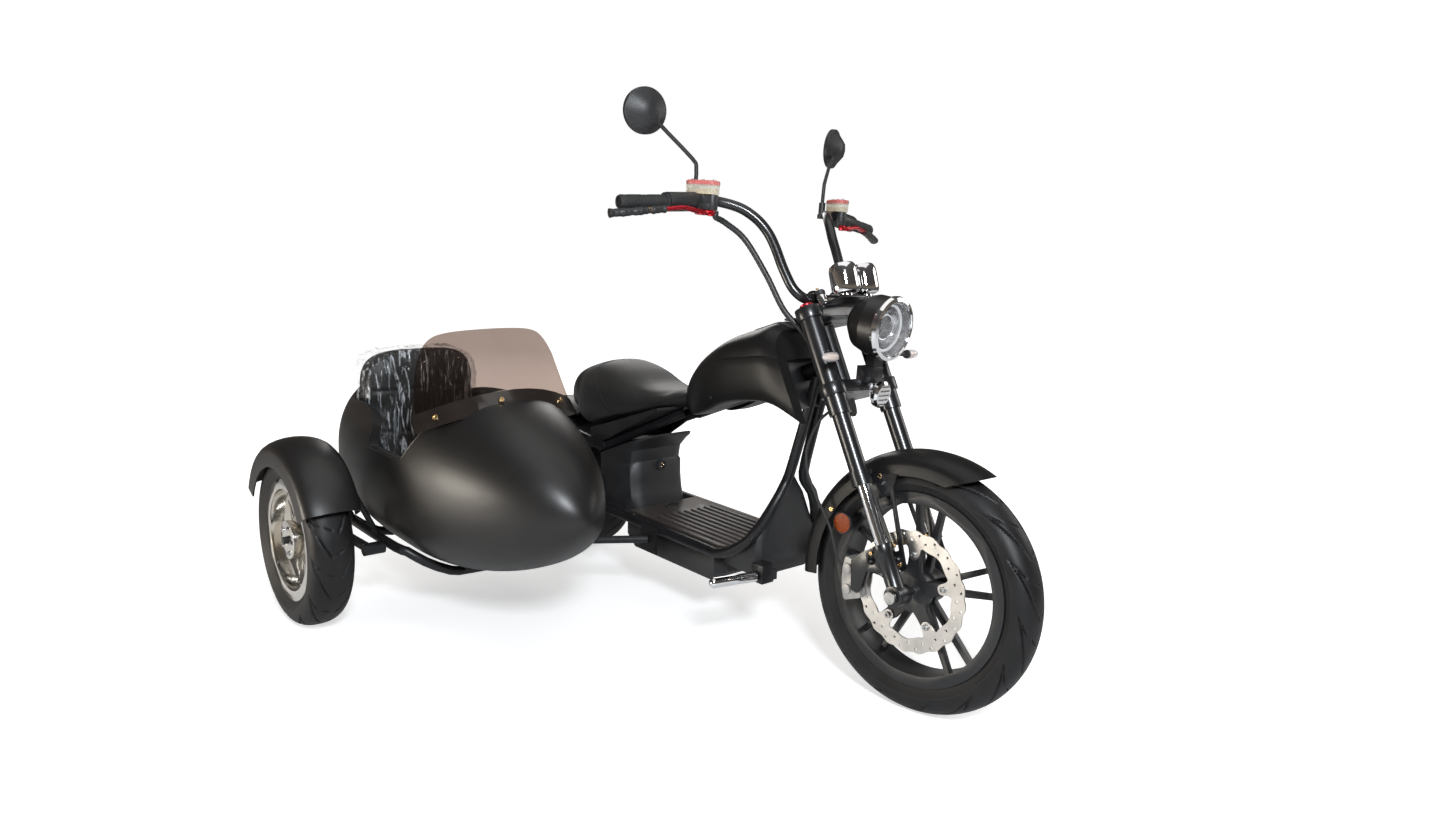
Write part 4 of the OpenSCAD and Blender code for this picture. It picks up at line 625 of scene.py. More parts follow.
# sidecar tub with a recessed cockpit edge
tubSizes = {"wideX": -1132, "midZ": 403, "up": 282, "down": 240, "halfW": 248, "nose": 562, "tail": 640, "bulge": 2.3,
            "noseBend": 1.72, "tailBend": 2.9, "wall": 9, "y": -555, "lowZ": 484, "recess": 20, "recessDepth": 4.5,
            "cockpit": ((-955, 0), (-975, -120), (-1020, -200), (-1062, -232), (-1120, -250), (-1286, -250),
                        (-1300, -214), (-1420, -196), (-1540, -184), (-1582, -150), (-1590, 0), (-1582, 150),
                        (-1540, 184), (-1420, 190), (-1120, 196), (-1020, 170), (-975, 110))}


def signedPower(a, e):
    return math.copysign(abs(a) ** e, a)


def tubShare(t):  # share of the widest section at a place from tail, -1, to nose, 1
    bend = tubSizes["noseBend" if t > 0 else "tailBend"]
    return max(0, 1 - abs(t) ** bend) ** (1 / bend)


def tubRings(wall, alongCount=80, aroundCount=112):
    s, n, rings = tubSizes, tubSizes["bulge"], []
    for i in range(alongCount + 1):
        t = math.sin(math.pi / 2 * (2 * i / alongCount - 1))
        k = max(0.02, tubShare(t))
        x = s["wideX"] + t * ((s["nose"] if t > 0 else s["tail"]) - wall)
        ring = []
        for c, h in circle(1, aroundCount):
            rise = (s["up"] if h > 0 else s["down"]) - wall
            ring.append((x, s["y"] + (s["halfW"] - wall) * k * signedPower(c, 2 / n),
                         s["midZ"] + rise * k * signedPower(h, 2 / n)))
        rings.append(ring)
    return loft(rings)


def cockpitOutline(grow):
    pts = [np.array(p, float) for p in tubSizes["cockpit"]]
    for _ in range(3):  # round the corners
        pts = [q for i in range(len(pts)) for q in (0.78 * pts[i] + 0.22 * pts[(i + 1) % len(pts)],
                                                    0.22 * pts[i] + 0.78 * pts[(i + 1) % len(pts)])]
    out = []
    for i in range(len(pts)):
        d = pts[(i + 1) % len(pts)] - pts[i - 1]
        d /= max(np.linalg.norm(d), 1e-6)
        out.append(tuple(pts[i] + grow * np.array((-d[1], d[0]))))
    return out


def tubMeshes():
    s = tubSizes
    lift = moved(0, s["y"], 0)
    grow = s["recess"]
    if sum(a[0] * b[1] - b[0] * a[1] for a, b in zip(s["cockpit"], s["cockpit"][1:] + s["cockpit"][:1])) > 0:
        grow = -grow

    def solid(name, wall):
        return cleaned(newMesh(name, [(tubRings(wall), unturned)]))

    opening = newMesh("opening", [(prism(cockpitOutline(0), s["lowZ"], 900), lift)])
    ledge = newMesh("ledge", [(prism(cockpitOutline(grow), s["lowZ"] - s["recess"], 920), lift)])
    ledge = cutAway(cleaned(ledge), solid("skin", s["recessDepth"]))
    return cutAway(solid("tub", 0), ledge, solid("hollow", s["wall"]), opening)


tub = tubMeshes()
tub.transform(placed)
addPiece("sidecarTub", tub, "bodyBlack", "chassis", "body_black", ("sidecar_tub",), 30)
lipSizes = {"deep": 26, "half": 3, "rise": 1.2}


def lipShell():
    s, lip, n = tubSizes, lipSizes, tubSizes["bulge"]
    edge, rings = [], []
    for x, dy in cockpitOutline(0):
        t = (x - s["wideX"]) / (s["nose"] if x > s["wideX"] else s["tail"])
        k = max(0.05, tubShare(t))
        w, up = s["halfW"] * k, s["up"] * k
        far = w * max(0, 1 - ((s["lowZ"] - s["midZ"]) / up) ** n) ** (1 / n)
        dy = max(-far, min(far, dy))
        dz = max(0, 1 - (abs(dy) / w) ** n) ** (1 / n) * up
        out = np.array((0, math.copysign(abs(dy) ** (n - 1), dy) / w ** n, dz ** (n - 1) / up ** n))
        edge.append((np.array((x, s["y"] + dy, s["midZ"] + dz)), out / np.linalg.norm(out)))
    for i, (p, out) in enumerate(edge):
        ahead = edge[(i + 2) % len(edge)][0] - edge[i - 2][0]
        inward = np.cross(ahead, out)
        inward /= max(np.linalg.norm(inward), 1e-6)
        rings.append([p + out * lip["rise"] * a - out * lip["deep"] * b + inward * lip["half"] * c for a, b, c in (
            (0, 0, -1), (1, 0, -0.4), (1, 0, 0.4), (0, 0, 1), (0, 1, 1), (0, 1, -1))])
    return loft(rings + [rings[0]], caps=False)


makePiece("cockpitLip", [(lipShell(), placed)], "bodyBlack", "chassis", "body_black", (), 50)
print("tub shaped")

# smoked screen with rounded upper corners
screenSizes = {"rows": ((-905, 236, 640, 96, 62), (-940, 226, 690, 92, 62), (-985, 214, 752, 82, 20),
                        (-1030, 200, 822, 66, 20)), "thick": 4, "corner": 7}


def screenPoint(rows, q, v, off):
    place = v * (len(rows) - 1)
    i = min(int(place), len(rows) - 2)
    x, half, z, sweep, drop = [a + (b - a) * (place - i) for a, b in zip(rows[i], rows[i + 1])]
    return x - sweep * q * q - off, tubSizes["y"] + half * q, z - drop * q * q


def screenShell():
    s, rings = screenSizes, []
    fine = [tuple(r) for r in spline(s["rows"], 6)]
    for q in np.linspace(-1, 1, 61):
        highest = max(0.02, (1 - abs(q) ** s["corner"] * 0.999) ** (1 / 2.6))
        vs = [highest * i / 20 for i in range(21)]
        rings.append([screenPoint(fine, q, v, 0) for v in vs] + [screenPoint(fine, q, v, s["thick"]) for v in vs[::-1]])
    return loft(rings)


pane = cutAway(cleaned(newMesh("pane", [(screenShell(), unturned)])),
               newMesh("under", [(tubRings(-0.4), unturned)]))
pane.transform(placed)
addPiece("smokedScreen", pane, "smokedScreen", "chassis", "smoked_screen", ("sidecar_screen",), 30)
print("screen shaped")


# soft pieces
def crossRing(x, y, w, low, high, wide, n, sides):
    return [(x, y + w * signedPower(c, 2 / n),
             wide + ((high - wide) if h > 0 else (wide - low)) * signedPower(h, 2 / n)) for c, h in circle(1, sides)]


def swollen(mesh, voxel, cap, pressure, holdBelow):
    obj = scratch(cleaned(mesh))
    remesh = obj.modifiers.new("even", "REMESH")
    remesh.mode, remesh.voxel_size = "VOXEL", voxel
    mesh = settled(obj)
    obj = scratch(mesh)
    start = np.array([v.co for v in mesh.vertices])
    held = obj.vertex_groups.new(name="held")
    held.add([int(i) for i in np.nonzero(start[:, 2] < holdBelow(start))[0]], 1.0, "REPLACE")
    cloth = obj.modifiers.new("cloth", "CLOTH")
    cloth.settings.quality = 5
    cloth.settings.use_pressure = True
    cloth.settings.uniform_pressure_force = pressure
    cloth.settings.effector_weights.gravity = 0
    cloth.settings.vertex_group_mass = "held"
    cloth.point_cache.frame_end = 20
    for step in range(1, 21):
        scene.frame_set(step)
    puffed = settled(obj)
    scene.frame_set(1)
    end = np.array([v.co for v in puffed.vertices])
    move = end - start
    size = np.maximum(np.linalg.norm(move, axis=1), 1e-9)
    move *= np.minimum(1, cap / size)[:, None]
    puffed.vertices.foreach_set("co", (start + move).ravel())
    mesh = puffed
    obj = scratch(mesh)
    ease = obj.modifiers.new("ease", "SMOOTH")
    ease.factor, ease.iterations = 0.5, 6
    split = obj.modifiers.new("split", "SUBSURF")
    split.levels = split.render_levels = 1
    return settled(obj)


def creased(mesh, lines, width, depth):  # seam lines: functions giving the distance in metres
    co = np.array([v.co for v in mesh.vertices])
    normals = np.array([v.normal for v in mesh.vertices])
    for distance in lines:
        d = np.abs(distance(co))
        co -= normals * (depth * np.exp(-(d / width) ** 2))[:, None]
    mesh.vertices.foreach_set("co", co.ravel())
    mesh.update()
    return mesh


saddleSizes = {"stations": ((-1364, 0.36, 574, 530), (-1354, 0.57, 598, 516), (-1322, 0.82, 636, 500),
                            (-1270, 0.96, 664, 470), (-1200, 1.00, 678, 0), (-1110, 0.95, 664, 0),
                            (-1010, 0.84, 633, 0), (-920, 0.70, 630, 0), (-850, 0.62, 643, 0), (-800, 0.56, 652, 0)),
               "halfW": 145, "slope": 18.9, "origin": (-900, 584), "voxel": 0.006, "cap": 0.006, "pressure": 4}


def saddleBase(x):
    return saddleSizes["origin"][1] + (x - saddleSizes["origin"][0]) * math.tan(math.radians(saddleSizes["slope"]))


def saddleShell():
    rings = []
    for x, share, high, low in spline(saddleSizes["stations"], 6):
        low = max(saddleBase(x) + 0.6, low)
        rings.append(crossRing(x, 0, share * saddleSizes["halfW"], low, high - 3, low + 0.42 * (high - low), 2.6, 40))
    return loft(rings)


def saddleFloor(p):  # height of the seat pan under each point, in metres
    return 0.001 * saddleBase(p[:, 0] * 1000 + layout["middle"][0])


saddleMesh = swollen(newMesh("saddle", [(saddleShell(), placed)]), saddleSizes["voxel"], saddleSizes["cap"],
                     saddleSizes["pressure"], lambda p: 0.012 + saddleFloor(p))
seamAt = placed @ Vector((-1150, 0, 592))  # seam plane from the photograph
seamNormal = np.array((0.79, 0.0, 0.613))


def saddleSeam(p):
    return (p - np.array(seamAt)) @ seamNormal


def saddleHem(p):
    return p[:, 2] - saddleFloor(p) - 0.014


saddleMesh = creased(saddleMesh, [saddleSeam, saddleHem], 0.0032, 0.0024)
saddle = addPiece("saddlePad", saddleMesh, "blackLeather", "chassis", "black_leather", ("saddle",), 60)
print("saddle padded")

seatSizes = {"cushion": ((-1450, 116, 256, 318), (-1440, 134, 244, 338), (-1300, 140, 240, 346), (-1162, 134, 244, 338),
                         (-1152, 116, 256, 318)),
             "back": ((-1566, 150, 372, 690), (-1556, 164, 362, 710), (-1500, 172, 358, 722), (-1470, 172, 358, 724),
                      (-1460, 150, 368, 704)), "voxel": 0.006, "cap": 0.010, "pressure": 4}


def seatPad(rows):
    fine = spline(rows, 5)
    return loft([crossRing(x, tubSizes["y"], w, low, high, (low + high) / 2, 4.2, 44) for x, w, low, high in fine])


def channel(place):  # sewn channel across the pad at a height
    return lambda p: p[:, 2] - place


for name, rows, seams in (("sidecarCushion", seatSizes["cushion"], []),
                          ("sidecarBackrest", seatSizes["back"], [channel(0.475), channel(0.60)])):
    pad = swollen(newMesh(name, [(seatPad(rows), placed)]), seatSizes["voxel"], seatSizes["cap"], seatSizes["pressure"],
                  lambda p, low=(rows[2][2] + 12) / 1000: low + 0 * p[:, 0])
    pad = creased(pad, seams, 0.006, 0.004)
    piece = addPiece(name, pad, "blackLeather", "chassis", "black_leather", ("sidecar_seat",), 60)
print("sidecar seat padded")

# clear film wrapped over the backrest
filmSizes = {"halfW": 172, "low": 352, "high": 716, "front": -1445, "skirt": 84, "step": 3.4, "fold": 5.0,
             "power": 5.0, "lowEnd": 0.72}


def filmShell():
    s = filmSizes
    midZ, halfZ = (s["low"] + s["high"]) / 2, (s["high"] - s["low"]) / 2
    reach = 1 + s["skirt"] / s["halfW"]
    ny, nz = int(2 * reach * s["halfW"] / s["step"]), int((1 + reach) * halfZ / s["step"])
    rows = []
    for i in range(nz + 1):
        row = []
        for j in range(ny + 1):
            y, z = (2 * j / ny - 1) * reach, -s["lowEnd"] + i / nz * (reach + s["lowEnd"])
            rho = (abs(y) ** s["power"] + abs(z) ** s["power"]) ** (1 / s["power"])
            over = max(0.0, rho - 1)
            shrink = 1 / rho if rho > 1 else 1.0
            yy, zz = y * shrink * s["halfW"], z * shrink * halfZ
            x = s["front"] - 14 * min(rho, 1) ** 6 - over * s["halfW"]
            bend = noise.noise(Vector((yy * 0.012, zz * 0.006, 3.1))) * 2.2
            pleat = abs(noise.noise(Vector((yy * 0.045 + bend, zz * 0.009 + yy * 0.006, x * 0.012))))
            crimp = abs(noise.noise(Vector((yy * 0.09 + bend, zz * 0.05, 7.7 + x * 0.03))))
            lift = s["fold"] * (1.5 * (1 - pleat) ** 4 + 0.55 * (1 - crimp) ** 3) - s["fold"] * 0.4
            front = min(1, max(0.0, 1 - over * 3))
            out = Vector((front, (1 - front) * yy / s["halfW"], (1 - front) * zz / halfZ)).normalized()
            row.append((x + out.x * lift, tubSizes["y"] + yy + out.y * lift, midZ + zz + out.z * lift))
        rows.append(row)
    return loft(rows, caps=False, wrap=False)


film = makePiece("backrestFilm", [(filmShell(), placed)], "clearFilm", "chassis", "clear_lens", (), 60)

# tank
tankSizes = {"stations": ((-796, 0.52, 608, 672, 648, 0, 40), (-788, 0.64, 596, 692, 658, 0, 40),
                          (-745, 0.80, 590, 738, 686, 0, 40), (-690, 0.92, 608, 780, 722, 0, 40),
                          (-610, 1.00, 644, 826, 762, 0, 40), (-520, 1.00, 666, 858, 780, 0, 42),
                          (-442, 0.97, 674, 873, 792, -0.27, 54), (-384, 0.87, 640, 864, 792, -0.53, 84)),
             "halfW": 132, "leanZ": 760, "step": 4, "backbone": (-838, 576, -322, 783.6), "clear": 29}


def tankRing(station):
    x, share, low, high, crease, lean, slot = station
    s = tankSizes
    w, step = share * s["halfW"], s["step"]
    x0, z0, x1, z1 = s["backbone"]
    roof = min(z0 + (x - x0) * (z1 - z0) / (x1 - x0) + s["clear"], crease)
    slot = min(slot, 0.76 * w)
    half = [(slot, max(roof, low + 6)), (slot, low), (w * 0.80, low), (w * 0.86, low + 1)]
    half += [(w * out, low + up * (crease - low)) for out, up in ((0.93, 0.05), (0.965, 0.14), (0.985, 0.3), (1, 0.5),
                                                                  (1, 0.8))]
    half += [(w, crease - 1), (w - 0.7, crease + 0.5), (w - step + 0.6, crease + step - 1.4)]
    half += [((w - step) * math.cos(a) ** 0.8, crease + step - 1 + (high - crease - step + 1) * math.sin(a) ** 0.8)
             for a in np.radians(np.arange(0, 90, 7.5))]
    ring = half + [(0, high)] + [(-y, z) for y, z in half[::-1]]
    return [(x + lean * (z - s["leanZ"]), y, z) for y, z in ring]


def tankTop(x, y):  # height of the tank's crown
    rows = spline(tankSizes["stations"], 8)
    xs = [r[0] + r[5] * (r[3] - tankSizes["leanZ"]) for r in rows]
    high, crease, share = (np.interp(x, xs, [r[i] for r in rows]) for i in (3, 4, 1))
    w = share * tankSizes["halfW"] - tankSizes["step"]
    c = min(0.999, (abs(y) / w) ** (1 / 0.8))
    return crease + tankSizes["step"] + (high - crease - tankSizes["step"]) * (1 - c * c) ** 0.4


tankRows = spline(tankSizes["stations"], 7)
# the tank shell takes the shaded copy of the body paint, a painted shade
makePiece("tankShell", [(loft([tankRing(r) for r in tankRows]), placed)], "tankBlack", "chassis", "body_black",
          ("tank",), 28)
consoleSizes = {"middleX": -505, "length": 172, "width": 92, "rise": 3.0}


def consoleShell():
    s, rise = consoleSizes, consoleSizes["rise"]
    rings = []
    for grow, lift in ((1.0, -2.0), (1.0, rise - 1), (0.965, rise), (0.86, rise), (0.84, rise - 1.2), (0.5, rise - 1.4),
                       (0.02, rise - 1.4)):
        ring = []
        for a in np.linspace(0, 2 * math.pi, 64, endpoint=False):
            x = s["middleX"] + grow * s["length"] / 2 * signedPower(math.cos(a), 0.7)
            y = grow * s["width"] / 2 * signedPower(math.sin(a), 0.7)
            ring.append((x, y, tankTop(x, y) + lift))
        rings.append(ring)
    return loft(rings)


makePiece("tankConsole", [(consoleShell(), placed)], "blackPlastic", "chassis", "black_plastic", (), 40)
makePiece("fillerCap", [(lathe([(0, 3), (17, 3), (20, 4.5), (20, 8), (17, 10), (6, 10.5), (0, 10.5)], 40),
                         placed @ moved(-470, 0, tankTop(-470, 0) - 1) @ turned(-3, "Y"))], "castBlack", "chassis",
          "black_plastic")
panelSizes = {"halfW": 85, "low": 668, "high": 800, "x": -398, "lean": -0.53, "thick": 4, "hollow": 14}


def neckPanel():  # dark infill of the tank's front notch
    s = panelSizes
    rings = []
    for z in np.linspace(s["low"], s["high"], 9):
        front = [(s["x"] + s["lean"] * (z - tankSizes["leanZ"]) - s["hollow"] * (1 - q * q), q * s["halfW"], z)
                 for q in np.linspace(-1, 1, 15)]
        rings.append(front + [(x - s["thick"], y, z) for x, y, z in front[::-1]])
    return loft(rings)


makePiece("neckPanel", [(neckPanel(), placed)], "blackPlastic", "chassis", "black_plastic", (), 50)
print("tank shaped")

# handlebar, grips, levers, reservoirs, loom and hose
barSizes = {"middle": (-352.95, 938.5), "r": 12.5, "gripEnd": 490, "gripLen": 128,
            "route": ((-362, 97, 946), (-380, 110, 966), (-406, 118, 1009), (-432, 123, 1058), (-454, 130, 1093),
                      (-479, 147, 1123), (-510, 175, 1146), (-545, 215, 1157)),
            "straight": ((-545, 215, 1157), (-597, 490, 1132)), "masterY": 262, "masterTurn": -23}


def onBar(y):
    a, b = (np.array(p, float) for p in barSizes["straight"])
    return a + (b - a) * (y - a[1]) / (b[1] - a[1])


barLeft = [(barSizes["middle"][0], y, barSizes["middle"][1]) for y in (20, 66, 80)] + list(barSizes["route"]) + [
    tuple(onBar(240)), tuple(onBar(360)), tuple(onBar(barSizes["gripEnd"] - 4))]
barWhole = [(x, -y, z) for x, y, z in barLeft[::-1]] + barLeft
makePiece("bentBar", [(tube(spline(barWhole, 6), barSizes["r"], 28), steered)], "forkBlack", "steering", "fork_black",
          ("handlebar",))
barDirection = Vector(onBar(490) - onBar(362)).normalized()
gripPlace = Matrix.Translation(onBar(barSizes["gripEnd"] - barSizes["gripLen"])) @ barDirection.to_track_quat(
    "Z", "Y").to_matrix().to_4x4()


def gripProfile():
    inner, outer, length = barSizes["r"] + 0.3, 17, barSizes["gripLen"] * 1.01
    profile = [(inner, 0), (20, 0), (22, 1.5), (22, 6), (20, 8), (outer, 9)]
    for i in range(12):
        z = 14 + i * 8.6
        profile += [(outer, z), (outer - 1.3, z + 1), (outer - 1.3, z + 3), (outer, z + 4)]
    return profile + [(outer, length - 5), (outer - 2, length), (inner, length)]


def gripShell():
    points, faces = lathe(gripProfile(), 48, loop=True)
    out = []
    for x, y, z in points:  # waves cut along the palm side
        r = math.hypot(x, y)
        if r > 15.3 and 10 < z < barSizes["gripLen"] - 6:
            wave = 1.2 * max(0, math.sin(z * 0.11 + 1.2 * math.sin(math.atan2(y, x))))
            x, y = x * (r - wave * 0.5) / r, y * (r - wave * 0.5) / r
        out.append((x, y, z))
    return out, faces


makePiece("ribbedGrips", [(gripShell(), steered @ flip @ gripPlace) for flip in flips], "softRubber",
          "steering", slotOf["grips"], ("grips",), 30)
leverSizes = {"pivot": (-528, 282, 1138), "tip": (-596, 520, 1099), "redTo": 0.46, "bands": (0.60, 0.625)}


def leverPoint(s):
    a, b = np.array(leverSizes["pivot"], float), np.array(leverSizes["tip"], float)
    return a + s * (b - a) + np.array((14 * math.sin(math.pi * s), 0, -12 + 17 * min(1, s / 0.25)))


def leverSection(s0, s1, across, up, count=14):
    ss = np.linspace(s0, s1, count)
    return tube([leverPoint(s) for s in ss], [(across(s), up(s)) for s in ss], 16)


bothBars = [steered, steered @ mirrored]
leverForms = (leverSection(0.0, leverSizes["redTo"] + 0.03, lambda s: 10 - 5 * s, lambda s: 6.5 - 3 * s),
              block((22, 30, 13), leverPoint(0.02) + np.array((-3, -4, 0)), 2.5),
              block((15, 13, 20), leverPoint(0.0) + np.array((4, -22, 3)), 2.5))
makePiece("leverBlades", [(form, side) for form in leverForms for side in bothBars], "redAnodised", "steering",
          "red_anodised", ("brake_levers",))


def sleeveR(s):
    pinch = 1 - 0.25 * math.exp(-((s - 0.612) / 0.02) ** 2)
    return (11.0 + 3.0 * (s - 0.4) + 0.8 * math.sin(46 * s) + 0.5 * math.sin(111 * s)) * pinch


makePiece("leverSleeves", [(leverSection(leverSizes["redTo"], 0.985, sleeveR, lambda s: 0.78 * sleeveR(s), 60), side)
                           for side in bothBars], "blackPlastic", "steering", "rubber", (), 60)
makePiece("leverBands", [(leverSection(s - 0.004, s + 0.004, lambda q: 9.4, lambda q: 7.8, 3), side)
                         for side in bothBars for s in leverSizes["bands"]], "goldZinc", "steering", "amber_fluid")
masterPlace = Matrix.Translation(onBar(barSizes["masterY"]) + np.array((3, 4, 0))) @ turned(barSizes["masterTurn"], "Z")
potPlaces = [side @ masterPlace @ moved(0, 0, 17) for side in bothBars]


def potWall(low, high, thick):
    outer, inner = pill(84, 40), pill(84 - 2 * thick, 40 - 2 * thick)
    rings = [[(x, y, z) for x, y in ring] for ring, z in ((outer, low), (outer, high), (inner, high), (inner, low))]
    return loft(rings + [rings[0]], caps=False)


lidForms = (prism(pill(85, 41), 21, 32, 2), prism(pill(70, 26), 31, 33, 0.8))
makePieces("steering", (
    ("reservoirCups", [(potWall(0.2, 25, 2.2), place) for place in potPlaces], "potPlastic", "clear_lens",
     ("reservoirs",)),
    ("brakeFluid", [(prism(pill(78, 34), 1, 13, 1), place) for place in potPlaces], "amberFluid", "amber_fluid"),
    ("reservoirLids", [(form, place) for form in lidForms for place in potPlaces], "redCap", "red_anodised")))
loomSizes = {"route": ((-524, -244, 1132.6), (-524, -244, 1126), (-524, -242, 1118), (-516, -214, 1106),
                       (-485, -175, 1070), (-432, -148, 990), (-386, -126, 909), (-340, -98, 856), (-308, -80, 791),
                       (-289, -70, 764), (-282.4, -62, 746.1), (-274.3, -62, 731.1)),
             "r": 7, "strands": 10, "turn": 0.30, "weave": 0.55}


def braidShell(s):
    path = spline(s["route"], 22)
    sides = 2 * s["strands"]
    points, faces = tube(path, s["r"], sides)
    length = 0
    out = list(points)
    for i in range(len(path)):
        if i:
            length += np.linalg.norm(path[i] - path[i - 1])
        for j in range(sides):  # over and under of the braid
            weave = math.sin(j * math.pi + length * s["turn"]) * s["weave"]
            c = Vector(path[i])
            out[i * sides + j] = tuple(c + (Vector(points[i * sides + j]) - c) * (1 + weave / s["r"]))
    return out, faces


makePiece("braidedLoom", [(braidShell(loomSizes), steered)], "braidSleeve", "steering", slotOf["cable_loom"],
          ("cable_loom",), 60)
hoseEnd = [(r * math.cos(math.radians(176)), -63, 296 + r * math.sin(math.radians(176))) for r in (191, 177.3)]
hoseRoute = [(-260.8, -70, 701.2), (-252.9, -70, 686.6), (-284, -80, 650), (-306, -90, 584), (-300, -94, 534),
             (-284, -94, 500), (-258, -93, 460), (-238, -90, 432), (-218, -84, 394), (-206, -76, 350),
             (-200, -68, 322)] + hoseEnd
makePiece("brakeHose", [(tube(spline(hoseRoute, 8), 3.5, 12), steered)], "softRubber", "steering", slotOf["brake_hose"],
          ("brake_hose",))
print("bar and controls shaped")

# headlamp
lampAt = [lampFrame]
makePieces("steering", (
    ("lampGlass", lathed([(0, 11), (20, 10.6), (37, 9), (52, 6.4), (65.7, 3), (65.7, -2), (62, -2), (61, 1.5), (50, 4),
                          (37, 6.2), (20, 7.6), (0, 8)], 72, lampAt), "clearLens", "clear_lens", ("headlamp_lens",)),
    ("lampBowl", lathed([(65, -3), (62, -14), (55, -32), (44, -46), (32, -54), (31, -57), (46, -49), (57, -34),
                         (64.5, -15), (66.5, -3)], 72, lampAt, True), "darkBowl", "chrome"),
    ("lampHalo", lathed([(52, -20), (57, -17), (58.5, -21), (54, -25)], 72, lampAt, True), "lampHalo", "clear_lens"),
    ("lampProjector", lathed([(28, -60), (33, -58), (33, -30), (31, -26), (28.5, -26), (28, -30)], 60, lampAt, True),
     "chrome", "chrome"),
    ("lampBall", lathed([(0, -8), (9, -9.5), (17, -13.5), (23, -19.5), (26.5, -27), (26.5, -33), (0, -34)], 60, lampAt),
     "clearLens", "clear_lens"),
    ("lampShade", lathed([(0, -52), (27, -52), (27, -50), (0, -50)], 40, lampAt), "dialFace", "black_plastic")))

# fork caps, key and indicators
indicatorSizes = {"tip": (-202.95, 194, 818), "stalkR": 5.5,
                  "stalk": ((-252.55, 118, 818), (-226, 128, 818), (-208, 136, 818), (-203, 145, 818))}
bulletPlaces = [steered @ flip @ moved(*indicatorSizes["tip"]) @ turned(90, "X") for flip in flips]
stalk = tube(spline(indicatorSizes["stalk"], 5), indicatorSizes["stalkR"], 14)
capPlaces = [forkFrame @ moved(0, side * 105, 708) for side in (-1, 1)]
keyAt = [forkFrame @ moved(22, -66, 705)]
makePieces("steering", (
    ("forkCaps", lathed([(0, 0), (16, 0), (17, 1.5), (17, 5), (15, 7), (8, 7.5), (7, 5), (0, 5)], 40, capPlaces),
     "redAnodised", "red_anodised"),
    ("keyBarrel", lathed([(0, 0), (13, 0), (13, 22), (11, 25), (0, 25)], 36, keyAt), "chrome", "chrome"),
    ("keyKnob", lathed([(0, 24), (9, 24), (12, 28), (12, 34), (9, 38), (0, 39)], 30, keyAt), "blackPlastic",
     "black_plastic"),
    ("indicatorStalks", [(stalk, steered @ flip) for flip in flips]
     + lathed([(0, 43), (10.6, 43), (11.4, 46), (10, 51), (0, 54)], 32, bulletPlaces), "blackPlastic", "black_plastic",
     ("front_indicators",)),
    ("indicatorBulbs", lathed([(0, 9), (4, 11), (7, 18), (8, 32), (7, 44), (0, 44)], 28, bulletPlaces), "paleAmber",
     "amber_fluid"),
    ("indicatorLenses", lathed([(0, 0), (3.4, 0.8), (6, 3), (8.6, 8), (10.4, 15), (11.6, 28), (11.2, 44), (0, 44)], 36,
                               bulletPlaces), "lensSkin", "clear_lens")))
print("headlamp fitted")

# gauges
gaugeSizes = {"x": 76, "y": 40, "z": 711.3, "tilt": 10, "needleTurn": -50}
gaugeFrames = [forkFrame @ moved(gaugeSizes["x"], side * gaugeSizes["y"], gaugeSizes["z"])
               @ turned(gaugeSizes["tilt"], "Y") for side in (-1, 1)]
needle = block((1.6, 18, 0.8), (0, 6, 71.2), 0.3)
makePieces("steering", (
    ("gaugeCups", lathed([(0, -6), (14, -6), (14, 0), (25, 0), (31, 3), (34, 10), (34.5, 20), (34.5, 52), (33.6, 61),
                          (31, 68), (28.5, 72), (26.8, 73.4), (26.2, 72), (26.4, 69), (0, 69)], 64, gaugeFrames),
     "chrome", "chrome", ("gauges",)),
    ("gaugeDials", lathed([(0, 69.3), (26.4, 69.3), (26.4, 70.2), (0, 70.2)], 48, gaugeFrames), "dialFace",
     "black_plastic"),
    ("gaugeNeedles", [(needle, f @ turned(gaugeSizes["needleTurn"], "Z")) for f in gaugeFrames]
     + lathed([(0, 70), (3, 70), (3, 72), (0, 72.4)], 20, gaugeFrames), "redAnodised", "red_anodised")))


# node trees for what repeats
def nodeTree(name, **inputs):  # a number makes a float input, a word names the kind of socket
    tree = bpy.data.node_groups.new(name, "GeometryNodeTree")
    tree.interface.new_socket("Geometry", in_out="INPUT", socket_type="NodeSocketGeometry")
    ids = {}
    for key, value in {**inputs, "Finish": "Material"}.items():
        kind = "Float" if isinstance(value, float) else value
        socket = tree.interface.new_socket(key, in_out="INPUT", socket_type="NodeSocket" + kind)
        if kind == "Float":
            socket.default_value = value
        ids[key] = socket.identifier
    tree.interface.new_socket("Geometry", in_out="OUTPUT", socket_type="NodeSocketGeometry")
    return tree, addNode(tree, "NodeGroupInput"), addNode(tree, "NodeGroupOutput"), ids


def endTree(tree, geometry, source, sink):
    real = addNode(tree, "GeometryNodeRealizeInstances", {0: geometry})
    paint = addNode(tree, "GeometryNodeSetMaterial", {0: real.outputs[0], "Material": source.outputs["Finish"]})
    tree.links.new(paint.outputs[0], sink.inputs[0])


def grown(mesh, tree, ids, finish, **values):
    obj = scratch(mesh)
    growth = obj.modifiers.new("grow", "NODES")
    growth.node_group = tree
    for key, value in {**values, "Finish": finishes[finish]}.items():
        growth[ids[key]] = value
    return settled(obj)


def boltHead():  # unit hex-socket head, few faces
    def ring(r, z, hexed=False):
        flat = math.cos(math.pi / 6) if hexed else 1
        return [(x * (flat if k % 2 else 1), y * (flat if k % 2 else 1), z) for k, (x, y) in enumerate(circle(r, 12))]
    return loft([ring(1, 0), ring(1, 0.62), ring(0.86, 0.8), ring(0.55, 0.8, True), ring(0.52, 0.35, True)])


